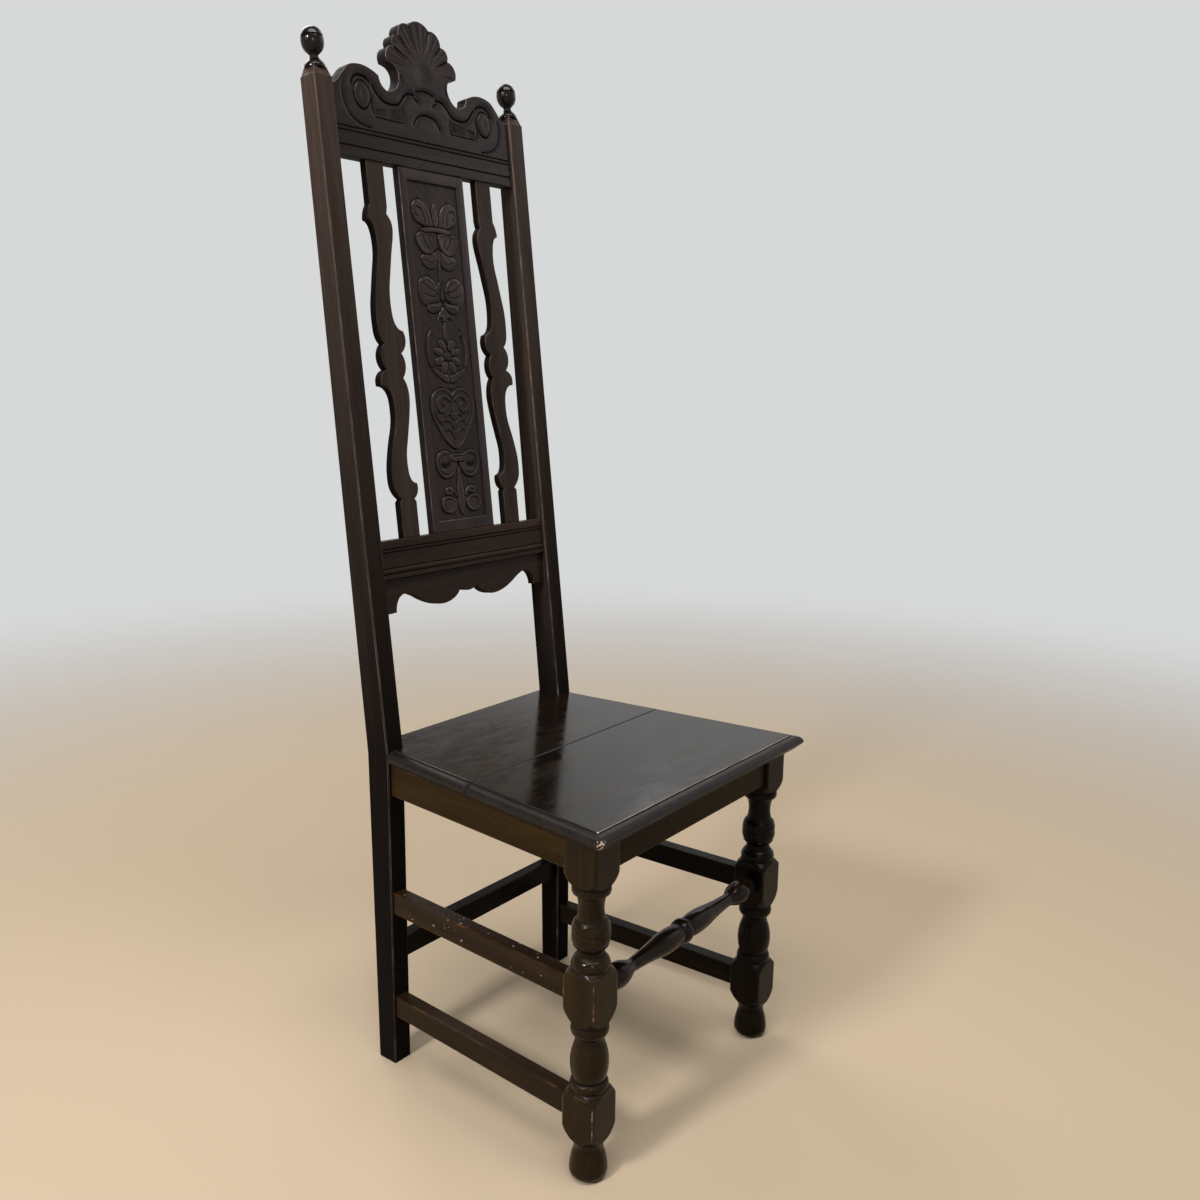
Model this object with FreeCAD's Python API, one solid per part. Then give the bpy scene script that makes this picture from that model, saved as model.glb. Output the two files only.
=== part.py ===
import FreeCAD
import Part
import math
import os

# Driving sizes of the chair, in millimetres and degrees.
FRONT_WIDTH = 430.0        # over the outer faces of the front legs
BACK_WIDTH = 379.0         # over the outer faces of the back posts
SIDE_DEPTH = 368.0         # front face of a leg to front face of a post
SEAT_HEIGHT = 457.0
SEAT_THICK = 20.0
LEG_BLOCK = 47.0           # square stock of the front legs
POST_WIDTH = 28.5
POST_DEPTH_FOOT = 33.0
POST_DEPTH_SEAT = 40.0
POST_DEPTH_TOP = 28.0
BACK_RAKE = 6.73           # lean of the back, from upright
BACK_RISE = 862.0          # along the lean, from the bend to the square top of a post
POST_BEND_RADIUS = 300.0
ARRIS = 1.2                # eased edges of the square stock
SAME_PLACE = 1.0           # edges closer than this to a place are taken as the ones there

# Joints: a tenon and its mortise share one size and these clearances.
JOINT_CLEAR = 0.15
MORTISE_SPARE = 1.0
TENON_THICK = 8.0
TENON_LENGTH = 18.0
TENON_SHOULDER = 5.0
PANEL_TENON_THICK = 6.0
PANEL_TENON_LENGTH = 12.0

# Seat rails and stretchers.
RAIL_THICK = 22.0
RAIL_HEIGHT = 43.0
RAIL_SET_BACK = 5.0
BACK_RAIL_INSET = 4.0
STRETCHER_THICK = 20.0
STRETCHER_HEIGHT = 31.0
STRETCHER_TENON_HEIGHT = 21.0
UPPER_STRETCHER_LEVEL = 240.0
LOWER_STRETCHER_LEVEL = 86.0
FRONT_STRETCHER_PEG = 8.0
FRONT_STRETCHER_PEG_LENGTH = 15.0

# Seat of two boards with a moulded edge.
SEAT_FRONT_OVERHANG = 18.5
SEAT_SIDE_OVERHANG = 18.0
SEAT_POST_OVERHANG = 3.0
SEAT_JOINT_DEPTH = 207.0
SEAT_TONGUE = 6.0
SEAT_NOTCH_CLEAR = 0.5
MOULD_WIDTH = 12.5
MOULD_QUIRK = 1.8
MOULD_TIP_DROP = 9.0
MOULD_LIP = 3.0
MOULD_UNDERCUT = 8.0
MOULD_ROUND_IN = 0.3       # middle of its round, as shares of the width and of the drop
MOULD_ROUND_DOWN = 0.45

# Raked back: heights run along the lean, set-backs run square to it.
RAIL_FACE = 5.0            # rail fronts behind the post fronts
PANEL_FACE = 7.0           # splat and slat fronts behind the post fronts
BACK_RAIL_THICK = 18.0
LOWER_RAIL_BASE = 232.0
LOWER_RAIL_HEIGHT = 52.0
APRON_DROP = 46.0
APRON_THICK = 12.0
APRON_FACE = 10.0
APRON_TONGUE = 5.0
CREST_BASE = 772.0
CREST_HEIGHT = 193.0
CREST_TENON_BASE = 13.0
CREST_TENON_HEIGHT = 60.0
LINE_WIDTH = 2.4           # incised lines
LINE_DEPTH = 1.4
LOWER_RAIL_LINES = (36.0, 40.5)
CREST_LINES = (13.0, 31.0, 36.0)
BEAD_RISE = 11.0
BEAD_HEIGHT = 8.0
BEAD_QUIRK = 1.0
BEAD_PROUD = 0.6
FLUTE_WIDTH = 6.0
FLUTE_DEPTH = 3.0
FLUTE_SHARE = 0.25         # of its way from the hub, where a flute starts
VOLUTE_RADIUS = 9.0
VOLUTE_PROUD = 4.0
SPLAT_WIDTH = 120.0
SPLAT_THICK = 12.0
SPLAT_BORDER = 15.0
SPLAT_SINK = 3.5
SLAT_INNER = 86.0
SLAT_WIDTH = 29.3
SLAT_THICK = 12.0

# Finials and the chamfered post tops that carry them.
POST_CAP_HEIGHT = 12.0
POST_CAP_TOP = 19.0
FINIAL_HEIGHT = 47.0
FINIAL_RADIUS = 14.3
FINIAL_PEG = 4.5
FINIAL_PEG_LENGTH = 16.0

# Corner blocks glued under the seat.
CORNER_BLOCK_HEIGHT = 28.0
CORNER_BLOCK_LEG = 46.0
CORNER_BLOCK_GAP = 3.0

# Sizes that the curved outlines are drawn at, before they are stretched to the chair's own: how far each
# reaches across or out from its middle, and how far along.
DRAWN_LEG = (23.5, 437.0)
DRAWN_STRETCHER = (23.5, 168.0)
DRAWN_FINIAL = (14.3, 47.0)
DRAWN_SLAT = (29.3, 488.0)
DRAWN_APRON = (161.0, 46.0)
DRAWN_CREST = (161.0, 193.0)
SHELL_HUB = (0.0, 129.0)   # places on the crest as drawn
VOLUTE_EYE = (110.0, 80.0)
LEG_CLEAR = 34.0           # radius that clears the corners of the leg as drawn

LEG_HEIGHT = SEAT_HEIGHT - SEAT_THICK
RAIL_BASE = LEG_HEIGHT - RAIL_HEIGHT
BEND_HEIGHT = SEAT_HEIGHT - SEAT_THICK / 2
LEG_HALF = LEG_BLOCK / 2
LEG_X = FRONT_WIDTH / 2 - LEG_HALF
LEG_INNER_X = FRONT_WIDTH / 2 - LEG_BLOCK
POST_X = BACK_WIDTH / 2 - POST_WIDTH / 2
POST_INNER_X = BACK_WIDTH / 2 - POST_WIDTH
LOWER_RAIL_TOP = LOWER_RAIL_BASE + LOWER_RAIL_HEIGHT
PANEL_SPAN = CREST_BASE - LOWER_RAIL_TOP
MIDDLE_STRETCHER_LEVEL = (UPPER_STRETCHER_LEVEL + LOWER_STRETCHER_LEVEL) / 2
REACH = 2 * (FRONT_WIDTH + SIDE_DEPTH)


def vec(x, y, z):
    return FreeCAD.Vector(x, y, z)


def block(x, y, z):
    """Box over three (low, high) ranges."""
    return Part.makeBox(x[1] - x[0], y[1] - y[0], z[1] - z[0], vec(x[0], y[0], z[0]))


def around(middle, size):
    return (middle - size / 2, middle + size / 2)


def grown(limits, by):
    return (limits[0] - by, limits[1] + by)


def stretched(points, drawn, wanted):
    """Points brought from the size that an outline is drawn at to the size wanted."""
    across = wanted[0] / drawn[0]
    along = wanted[1] / drawn[1]
    return [(a * across, b * along) for a, b in points]


def closed_face(start, runs, place):
    """Face inside runs that follow each other: one point for a line, pairs of points for arcs."""
    edges = []
    last = start
    for run in runs:
        if len(run) == 1:
            edges.append(Part.makeLine(place(*last), place(*run[0])))
        for through, end in zip(run[0::2], run[1::2]):
            edges.append(Part.Arc(place(*last), place(*through), place(*end)).toShape())
            last = end
        last = run[-1]
    if last != start:
        edges.append(Part.makeLine(place(*last), place(*start)))
    return Part.Face(Part.Wire(edges))


def turned(outline):
    """Solid of revolution about Z inside a half outline of radius and height."""
    points = [vec(0, 0, outline[0][1])]
    points += [vec(radius, 0, height) for radius, height in outline]
    points += [vec(0, 0, outline[-1][1]), points[0]]
    return Part.Face(Part.makePolygon(points)).revolve(vec(0, 0, 0), vec(0, 0, 1), 360)


def mirrored(shape):
    return shape.mirror(vec(0, 0, 0), vec(1, 0, 0))


def eased(shape, along, size=ARRIS):
    """Chamfer the long straight edges that run along one direction."""
    direction = vec(*along).normalize()
    edges = []
    for edge in shape.Edges:
        run = edge.lastVertex().Point.sub(edge.firstVertex().Point)
        if run.Length > LEG_BLOCK and run.cross(direction).Length < SAME_PLACE:
            edges.append(edge)
    return shape.makeChamfer(size, edges)


def plan_bar(start, end, thick, z, y):
    """Bar whose centre line passes through two plan points, cut off at two depths."""
    run = vec(end[0] - start[0], end[1] - start[1], 0)
    bar = block((-REACH, REACH), around(0, thick), z)
    bar.rotate(vec(0, 0, 0), vec(0, 0, 1), math.degrees(math.atan2(run.y, run.x)))
    bar.translate(vec(start[0], start[1], 0))
    return bar.common(block((-REACH, REACH), y, z))


def leaned(shape):
    """Carry a piece from the back's own upright frame to its place on the lean."""
    placed = shape.copy()
    turn = FreeCAD.Rotation(vec(1, 0, 0), -BACK_RAKE)
    lean = FreeCAD.Placement(vec(0, SIDE_DEPTH, BEND_HEIGHT), turn)
    placed.transformShape(lean.toMatrix(), True)
    return placed


def back_point(set_back, rise):
    """Depth and height of a point given in the back's own frame."""
    angle = math.radians(BACK_RAKE)
    y = SIDE_DEPTH + rise * math.sin(angle) + set_back * math.cos(angle)
    z = BEND_HEIGHT + rise * math.cos(angle) - set_back * math.sin(angle)
    return (y, z)


def front_leg():
    """Left leg turned from square stock: foot, two stretcher blocks, bulbs, neck and top block."""
    foot = [(14.0, 0.0), (23.2, 8.0), (23.2, 18.0), (18.8, 36.0), (18.8, 45.0)]
    lower_block = [(LEG_CLEAR, 80.0), (LEG_CLEAR, 107.5), (23.0, 119.5), (23.0, 128.6)]
    lower_bulb = [(19.6, 131.0), (23.2, 145.0), (23.2, 160.0), (18.2, 181.0), (22.6, 192.0), (22.6, 205.0)]
    upper_block = [(LEG_CLEAR, 233.0), (LEG_CLEAR, 263.0), (23.0, 275.0), (23.0, 281.0)]
    upper_bulb = [(17.6, 292.0), (23.2, 308.0), (23.2, 326.0)]
    neck = [(16.3, 334.6), (16.3, 365.0), (22.8, 368.0), (22.8, 379.0)]
    top_block = [(LEG_CLEAR, 399.0), (LEG_CLEAR, DRAWN_LEG[1])]
    outline = foot + lower_block + lower_bulb + upper_block + upper_bulb + neck + top_block
    stock = block(around(0, LEG_BLOCK), around(0, LEG_BLOCK), (0, LEG_HEIGHT))
    leg = turned(stretched(outline, DRAWN_LEG, (LEG_HALF, LEG_HEIGHT))).common(stock)
    leg.translate(vec(-LEG_X, LEG_HALF, 0))
    return leg


def back_post():
    """Left post sawn to a bend at the seat, tapered in depth, with a chamfered top."""
    bend_rear = (SIDE_DEPTH + POST_DEPTH_SEAT, BEND_HEIGHT)
    outline = [
        (SIDE_DEPTH, 0.0),
        (SIDE_DEPTH, BEND_HEIGHT),
        back_point(0.0, BACK_RISE),
        back_point(POST_DEPTH_TOP, BACK_RISE),
        bend_rear,
        (SIDE_DEPTH + POST_DEPTH_FOOT, 0.0),
    ]
    corners = [vec(-BACK_WIDTH / 2, y, z) for y, z in outline]
    sawn = Part.Face(Part.makePolygon(corners + corners[:1])).extrude(vec(POST_WIDTH, 0, 0))
    bends = [
        edge for edge in sawn.Edges
        if abs(edge.CenterOfMass.z - BEND_HEIGHT) < SAME_PLACE and abs(edge.Length - POST_WIDTH) < SAME_PLACE
    ]
    post = sawn.makeFillet(POST_BEND_RADIUS, bends)
    arrises = [
        edge for edge in post.Edges
        if abs(edge.lastVertex().Point.z - edge.firstVertex().Point.z) > LEG_BLOCK / 4
    ]
    post = post.makeChamfer(ARRIS, arrises)
    middle = POST_DEPTH_TOP / 2
    rings = []
    for width, depth, rise in (
        (POST_WIDTH - 2 * ARRIS, POST_DEPTH_TOP - 2 * ARRIS, BACK_RISE),
        (POST_CAP_TOP, POST_CAP_TOP, BACK_RISE + POST_CAP_HEIGHT),
    ):
        x = around(-POST_X, width)
        y = around(middle, depth)
        ring = [vec(x[0], y[0], rise), vec(x[1], y[0], rise), vec(x[1], y[1], rise), vec(x[0], y[1], rise)]
        rings.append(Part.makePolygon(ring + ring[:1]))
    cap = leaned(Part.makeLoft(rings, True, True))
    socket = Part.makeCylinder(
        FINIAL_PEG + JOINT_CLEAR,
        FINIAL_PEG_LENGTH + MORTISE_SPARE,
        vec(-POST_X, middle, BACK_RISE + POST_CAP_HEIGHT - FINIAL_PEG_LENGTH - MORTISE_SPARE),
    )
    return post.fuse(cap).removeSplitter().cut(leaned(socket))


def finial():
    """Left turned ball with a collar and neck, pegged into the post."""
    collar = [(12.6, 0.0), (12.6, 3.6), (5.6, 10.5), (8.0, 14.5)]
    ball = [(13.2, 22.0), (14.3, 28.0), (14.3, 34.5), (10.6, 42.5), (0.0, 47.0)]
    outline = [(FINIAL_PEG, -FINIAL_PEG_LENGTH), (FINIAL_PEG, 0.0)]
    outline += stretched(collar + ball, DRAWN_FINIAL, (FINIAL_RADIUS, FINIAL_HEIGHT))
    shape = turned(outline)
    shape.translate(vec(-POST_X, POST_DEPTH_TOP / 2, BACK_RISE + POST_CAP_HEIGHT))
    return leaned(shape)


def seat_profile(place):
    """Edge section of the seat: flat top, quirk, quarter round, lip and undercut."""
    tip = SEAT_HEIGHT - MOULD_TIP_DROP
    lip = tip - MOULD_LIP
    middle = (-MOULD_WIDTH * MOULD_ROUND_IN, SEAT_HEIGHT - MOULD_TIP_DROP * MOULD_ROUND_DOWN)
    runs = [
        [(-MOULD_WIDTH, SEAT_HEIGHT)],
        [(-MOULD_WIDTH, SEAT_HEIGHT - MOULD_QUIRK)],
        [middle, (0.0, tip)],
        [(0.0, lip)],
        [(-MOULD_UNDERCUT, LEG_HEIGHT)],
        [(-REACH, LEG_HEIGHT)],
    ]
    return closed_face((-REACH, SEAT_HEIGHT), runs, place)


def whole_seat():
    """Seat panel: three moulded edges mitred at the front corners, notched for the posts."""
    front_y = -SEAT_FRONT_OVERHANG
    front = seat_profile(lambda u, z: vec(-REACH, front_y - u, z)).extrude(vec(2 * REACH, 0, 0))
    corner = (-(FRONT_WIDTH / 2 + SEAT_SIDE_OVERHANG), front_y)
    rear = (-(BACK_WIDTH / 2 + SEAT_POST_OVERHANG), SIDE_DEPTH)
    along = vec(rear[0] - corner[0], rear[1] - corner[1], 0).normalize()
    outward = vec(-along.y, along.x, 0)
    start = vec(corner[0], corner[1], 0).sub(along * REACH)

    def side_place(u, z):
        return start + outward * u + vec(0, 0, z)

    side = seat_profile(side_place).extrude(along * (2 * REACH))
    seat = front.common(side).common(mirrored(side))
    seat_levels = grown((LEG_HEIGHT, SEAT_HEIGHT), 1)
    rear_y = SIDE_DEPTH + POST_DEPTH_SEAT
    seat = seat.cut(block((-REACH, REACH), (rear_y, REACH), seat_levels))
    notch = block(
        (-REACH, -POST_INNER_X + SEAT_NOTCH_CLEAR),
        (SIDE_DEPTH - SEAT_NOTCH_CLEAR, REACH),
        seat_levels,
    )
    return seat.cut(notch).cut(mirrored(notch))


def seat_boards():
    """Front and rear board, held edge to edge by a tongue."""
    seat = whole_seat()
    levels = grown((LEG_HEIGHT, SEAT_HEIGHT), 1)
    front = seat.common(block((-REACH, REACH), (-REACH, SEAT_JOINT_DEPTH), levels))
    rear = seat.common(block((-REACH, REACH), (SEAT_JOINT_DEPTH, REACH), levels))
    half = POST_INNER_X
    middle = (LEG_HEIGHT + SEAT_HEIGHT) / 2 - MOULD_QUIRK
    tongue_levels = around(middle, SEAT_TONGUE)
    tongue = block((-half, half), (SEAT_JOINT_DEPTH - SEAT_TONGUE, SEAT_JOINT_DEPTH), tongue_levels)
    groove = block(
        (-half - MORTISE_SPARE, half + MORTISE_SPARE),
        (SEAT_JOINT_DEPTH - SEAT_TONGUE - MORTISE_SPARE, SEAT_JOINT_DEPTH),
        grown(tongue_levels, JOINT_CLEAR),
    )
    return front.cut(groove), rear.fuse(tongue).removeSplitter()


def side_bar(start, end, thick, z, tenon_z):
    """Left rail or stretcher from the leg to the post, and the mortises for its tenons."""
    faces = (LEG_BLOCK, SIDE_DEPTH)
    body = eased(plan_bar(start, end, thick, z, faces), (end[0] - start[0], end[1] - start[1], 0))
    tenon = plan_bar(start, end, TENON_THICK, tenon_z, grown(faces, TENON_LENGTH))
    mortise = plan_bar(
        start, end,
        TENON_THICK + 2 * JOINT_CLEAR,
        grown(tenon_z, JOINT_CLEAR),
        grown(faces, TENON_LENGTH + MORTISE_SPARE),
    )
    return body.fuse(tenon).removeSplitter(), mortise


def side_rail():
    half = RAIL_THICK / 2
    start = (-FRONT_WIDTH / 2 + RAIL_SET_BACK + half, LEG_HALF)
    end = (-BACK_WIDTH / 2 + RAIL_SET_BACK + half, SIDE_DEPTH)
    levels = (RAIL_BASE, LEG_HEIGHT)
    return side_bar(start, end, RAIL_THICK, levels, grown(levels, -TENON_SHOULDER))


def side_stretcher(level):
    levels = around(level, STRETCHER_HEIGHT)
    tenon_levels = around(level, STRETCHER_TENON_HEIGHT)
    end = (-POST_X, SIDE_DEPTH + POST_DEPTH_SEAT / 2)
    return side_bar((-LEG_X, LEG_HALF), end, STRETCHER_THICK, levels, tenon_levels)


def cross_bar(face_x, y, z, tenon_z, tenon_length):
    """Level bar between the two sides, and the mortises for its tenons."""
    body = eased(block((-face_x, face_x), y, z), (1, 0, 0))
    middle = (y[0] + y[1]) / 2
    reach = face_x + tenon_length
    tenon = block((-reach, reach), around(middle, TENON_THICK), tenon_z)
    spare = reach + MORTISE_SPARE
    mortise = block(
        (-spare, spare),
        around(middle, TENON_THICK + 2 * JOINT_CLEAR),
        grown(tenon_z, JOINT_CLEAR),
    )
    return body.fuse(tenon).removeSplitter(), mortise


def front_rail():
    levels = (RAIL_BASE, LEG_HEIGHT)
    y = (RAIL_SET_BACK, RAIL_SET_BACK + RAIL_THICK)
    return cross_bar(LEG_INNER_X, y, levels, grown(levels, -TENON_SHOULDER), TENON_LENGTH)


def back_rail():
    levels = (RAIL_BASE, LEG_HEIGHT)
    rear = SIDE_DEPTH + POST_DEPTH_SEAT - BACK_RAIL_INSET
    tenon_length = POST_WIDTH / 2 - TENON_SHOULDER
    y = (rear - RAIL_THICK + BACK_RAIL_INSET, rear)
    return cross_bar(POST_INNER_X, y, levels, grown(levels, -TENON_SHOULDER), tenon_length)


def back_stretcher():
    levels = around(MIDDLE_STRETCHER_LEVEL, STRETCHER_HEIGHT)
    tenon_levels = around(MIDDLE_STRETCHER_LEVEL, STRETCHER_TENON_HEIGHT)
    y = around(SIDE_DEPTH + POST_DEPTH_SEAT / 2 - TENON_SHOULDER / 2, STRETCHER_THICK)
    return cross_bar(POST_INNER_X, y, levels, tenon_levels, POST_WIDTH - 2 * TENON_SHOULDER)


def front_stretcher():
    """Turned stretcher: centre ring, two vases and a ball beside each leg."""
    peg_end = LEG_INNER_X + FRONT_STRETCHER_PEG_LENGTH
    ring = [(16.2, 0.0), (16.2, 5.5), (14.0, 9.2)]
    vase = [(14.0, 44.0), (8.7, 104.0)]
    ball = [(15.3, 117.0), (15.3, 137.0), (9.8, 147.0), (9.8, 160.0), (12.5, DRAWN_STRETCHER[1])]
    outline = stretched(ring + vase + ball, DRAWN_STRETCHER, (LEG_HALF, LEG_INNER_X))
    outline += [(FRONT_STRETCHER_PEG, LEG_INNER_X), (FRONT_STRETCHER_PEG, peg_end)]
    half = turned(outline)
    half.rotate(vec(0, 0, 0), vec(0, 1, 0), 90)
    half.translate(vec(0, LEG_HALF, UPPER_STRETCHER_LEVEL))
    spare = peg_end + MORTISE_SPARE
    hole = Part.makeCylinder(
        FRONT_STRETCHER_PEG + JOINT_CLEAR,
        2 * spare,
        vec(-spare, LEG_HALF, UPPER_STRETCHER_LEVEL),
        vec(1, 0, 0),
    )
    return half.fuse(mirrored(half)).removeSplitter(), hole


def back_tenons(set_back, rise):
    """Tenon bar through a rail of the back, and the mortises that it needs in the posts."""
    reach = POST_INNER_X + TENON_LENGTH
    tenon = block((-reach, reach), around(set_back, TENON_THICK), rise)
    spare = reach + MORTISE_SPARE
    mortise = block(
        (-spare, spare),
        around(set_back, TENON_THICK + 2 * JOINT_CLEAR),
        grown(rise, JOINT_CLEAR),
    )
    return tenon, mortise


def panel_tenon(x, thick):
    """Tenon that runs out of both ends of a back panel, and its mortise in the rails."""
    middle = PANEL_FACE + thick / 2
    span = (LOWER_RAIL_TOP, CREST_BASE)
    tenon = block(x, around(middle, PANEL_TENON_THICK), grown(span, PANEL_TENON_LENGTH))
    mortise = block(
        grown(x, JOINT_CLEAR),
        around(middle, PANEL_TENON_THICK + 2 * JOINT_CLEAR),
        grown(span, PANEL_TENON_LENGTH + MORTISE_SPARE),
    )
    return tenon, mortise


def splat():
    """Centre panel with a flat border round a sunk field."""
    half = SPLAT_WIDTH / 2
    panel = block(
        (-half, half),
        (PANEL_FACE, PANEL_FACE + SPLAT_THICK),
        (LOWER_RAIL_TOP, CREST_BASE),
    )
    field = block(
        (SPLAT_BORDER - half, half - SPLAT_BORDER),
        (PANEL_FACE, PANEL_FACE + SPLAT_SINK),
        (LOWER_RAIL_TOP + SPLAT_BORDER, CREST_BASE - SPLAT_BORDER),
    )
    tenon, mortise = panel_tenon(grown((-half, half), -TENON_SHOULDER), SPLAT_THICK)
    return panel.cut(field).fuse(tenon).removeSplitter(), mortise


def fret_slat():
    """Right slat sawn to a fret of lobes, nicks and long double curves."""

    def place(x, rise):
        return vec(SLAT_INNER + x, PANEL_FACE, LOWER_RAIL_TOP + rise)

    wide, tall = DRAWN_SLAT
    runs = [
        [(wide, 0.0)],
        [(wide, 47.5)],
        [(25.7, 52.0)],
        [(36.6, 66.0), (38.6, 88.0), (34.9, 111.0), (29.5, 131.0)],
        [(21.6, 164.0), (24.0, 190.0), (30.4, 199.0), (41.0, 201.5)],
        [(40.4, 213.5), (29.6, 222.5)],
        [(36.7, 239.0), (29.2, 256.0)],
        [(37.0, 279.0), (36.7, 306.0), (32.6, 328.0), (28.2, 350.0)],
        [(23.2, 381.0), (25.8, 403.0), (29.8, 410.0), (35.6, 413.0)],
        [(34.2, 422.5), (wide, 433.0)],
        [(wide, tall)],
        [(0.0, tall)],
        [(0.0, 432.0)],
        [(2.2, 423.0)],
        [(-5.2, 409.0), (-4.8, 394.0)],
        [(5.2, 348.0)],
        [(11.0, 311.0), (7.6, 285.0), (2.4, 277.0), (-6.0, 273.2)],
        [(-9.0, 258.0), (0.3, 244.0)],
        [(-5.2, 228.0), (1.2, 211.5)],
        [(-4.8, 192.0), (-4.6, 171.0)],
        [(2.6, 135.0)],
        [(9.8, 104.0), (7.4, 82.0), (3.2, 75.0), (-4.0, 71.8)],
        [(-4.6, 61.0), (2.8, 51.0)],
        [(0.0, 47.5)],
    ]
    runs = [stretched(run, DRAWN_SLAT, (SLAT_WIDTH, PANEL_SPAN)) for run in runs]
    body = closed_face((0.0, 0.0), runs, place).extrude(vec(0, SLAT_THICK, 0))
    x = grown((SLAT_INNER, SLAT_INNER + SLAT_WIDTH), -TENON_SHOULDER)
    tenon, mortise = panel_tenon(x, SLAT_THICK)
    return body.fuse(tenon).removeSplitter(), mortise


def incised_line(rise):
    """Cutter for a V-shaped line along the face of a back rail."""
    half = LINE_WIDTH / 2
    corners = [
        vec(-POST_INNER_X, RAIL_FACE, rise - half),
        vec(-POST_INNER_X, RAIL_FACE + LINE_DEPTH, rise),
        vec(-POST_INNER_X, RAIL_FACE, rise + half),
    ]
    return Part.Face(Part.makePolygon(corners + corners[:1])).extrude(vec(2 * POST_INNER_X, 0, 0))


def lower_back_rail(panel_mortises):
    """Rail under the back panels: a bead, two incised lines and a groove for the apron."""
    base = LOWER_RAIL_BASE
    rear = RAIL_FACE + BACK_RAIL_THICK
    bead = around(base + BEAD_RISE, BEAD_HEIGHT)
    quirk = RAIL_FACE + LINE_DEPTH
    runs = [
        [(RAIL_FACE, bead[0] - BEAD_QUIRK)],
        [(quirk, bead[0])],
        [(RAIL_FACE - BEAD_PROUD, base + BEAD_RISE), (quirk, bead[1])],
        [(RAIL_FACE, bead[1] + BEAD_QUIRK)],
        [(RAIL_FACE, LOWER_RAIL_TOP - ARRIS)],
        [(RAIL_FACE + ARRIS, LOWER_RAIL_TOP)],
        [(rear, LOWER_RAIL_TOP)],
        [(rear, base)],
    ]

    def place(set_back, rise):
        return vec(-POST_INNER_X, set_back, rise)

    body = closed_face((RAIL_FACE, base), runs, place).extrude(vec(2 * POST_INNER_X, 0, 0))
    tenon, mortise = back_tenons(
        RAIL_FACE + BACK_RAIL_THICK / 2,
        grown((base, LOWER_RAIL_TOP), -2 * TENON_SHOULDER),
    )
    body = body.fuse(tenon).removeSplitter()
    for cutter in panel_mortises + [incised_line(base + line) for line in LOWER_RAIL_LINES]:
        body = body.cut(cutter)
    return body.cut(apron_tongue(JOINT_CLEAR, MORTISE_SPARE)), mortise


def apron_tongue(clear, spare):
    half = POST_INNER_X - TENON_SHOULDER
    return block(
        grown((-half, half), spare),
        around(APRON_FACE + APRON_THICK / 2, APRON_TONGUE + 2 * clear),
        (LOWER_RAIL_BASE, LOWER_RAIL_BASE + APRON_TONGUE + spare),
    )


def back_apron():
    """Scalloped board under the lower rail, with a tongue along its top edge."""

    def place(x, rise):
        return vec(x, APRON_FACE, LOWER_RAIL_BASE + rise)

    wide, drop = DRAWN_APRON
    half = [
        [(wide, 0.0)],
        [(wide, -drop)],
        [(138.0, -45.0)],
        [(133.0, -30.0), (119.5, -22.0)],
        [(105.0, -26.6), (91.0, -34.4)],
        [(71.0, -43.0), (50.0, -drop), (31.0, -41.8), (16.6, -29.0)],
        [(8.5, -33.2), (0.0, -34.5)],
    ]
    half = [stretched(run, DRAWN_APRON, (POST_INNER_X, APRON_DROP)) for run in half]
    board = closed_face((0.0, 0.0), half, place).extrude(vec(0, APRON_THICK, 0))
    return board.fuse(mirrored(board)).fuse(apron_tongue(0, 0)).removeSplitter()


def shell_flute(hub, notch):
    """Cutter for a V-shaped flute between two rays of the shell, from its hub out past a notch."""
    along = notch.sub(hub)
    start = hub + along * FLUTE_SHARE
    across = vec(along.z, 0, -along.x).normalize() * (FLUTE_WIDTH / 2)
    corners = [start.sub(across), start + vec(0, FLUTE_DEPTH, 0), start + across]
    return Part.Face(Part.makePolygon(corners + corners[:1])).extrude(along)


def crest_rail(panel_mortises):
    """Top rail sawn to a fluted shell between two scrolls, with incised lines along its foot."""

    def place(x, rise):
        return vec(x, RAIL_FACE, CREST_BASE + rise)

    def as_built(points):
        return stretched(points, DRAWN_CREST, (POST_INNER_X, CREST_HEIGHT))

    wide, tall = DRAWN_CREST
    notches = [(50.0, 152.0), (38.6, 168.0), (18.5, 185.0)]
    outline = [
        [(wide, 0.0)],
        [(wide, 84.0)],
        [(149.5, 91.0), (141.0, 101.5)],
        [(128.5, 113.3), (110.0, 117.0), (94.0, 114.8), (79.5, 108.5)],
        [(75.5, 97.8), (66.0, 92.0), (51.5, 98.0), (44.5, 112.0), (45.2, 119.0), (48.0, 125.5)],
        [(62.5, 130.0)],
        [(62.4, 144.0), notches[0]],
        [(49.4, 163.0), notches[1]],
        [(33.2, 182.0), notches[2]],
        [(10.0, 191.0), (0.0, tall)],
    ]
    half = closed_face((0.0, 0.0), [as_built(run) for run in outline], place)
    half = half.extrude(vec(0, BACK_RAIL_THICK, 0))
    hub, eye = [place(*spot) for spot in as_built([SHELL_HUB, VOLUTE_EYE])]
    for notch in as_built(notches):
        half = half.cut(shell_flute(hub, place(*notch)))
    front = eye.sub(vec(0, VOLUTE_PROUD, 0))
    volute = Part.makeCylinder(VOLUTE_RADIUS, VOLUTE_PROUD + BACK_RAIL_THICK / 2, front, vec(0, 1, 0))
    half = half.fuse(volute)
    tenon_base = CREST_BASE + CREST_TENON_BASE
    tenon, mortise = back_tenons(
        RAIL_FACE + BACK_RAIL_THICK / 2,
        (tenon_base, tenon_base + CREST_TENON_HEIGHT),
    )
    body = half.fuse(mirrored(half)).fuse(tenon).removeSplitter()
    for cutter in panel_mortises + [incised_line(CREST_BASE + line) for line in CREST_LINES]:
        body = body.cut(cutter)
    return body, mortise


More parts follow.
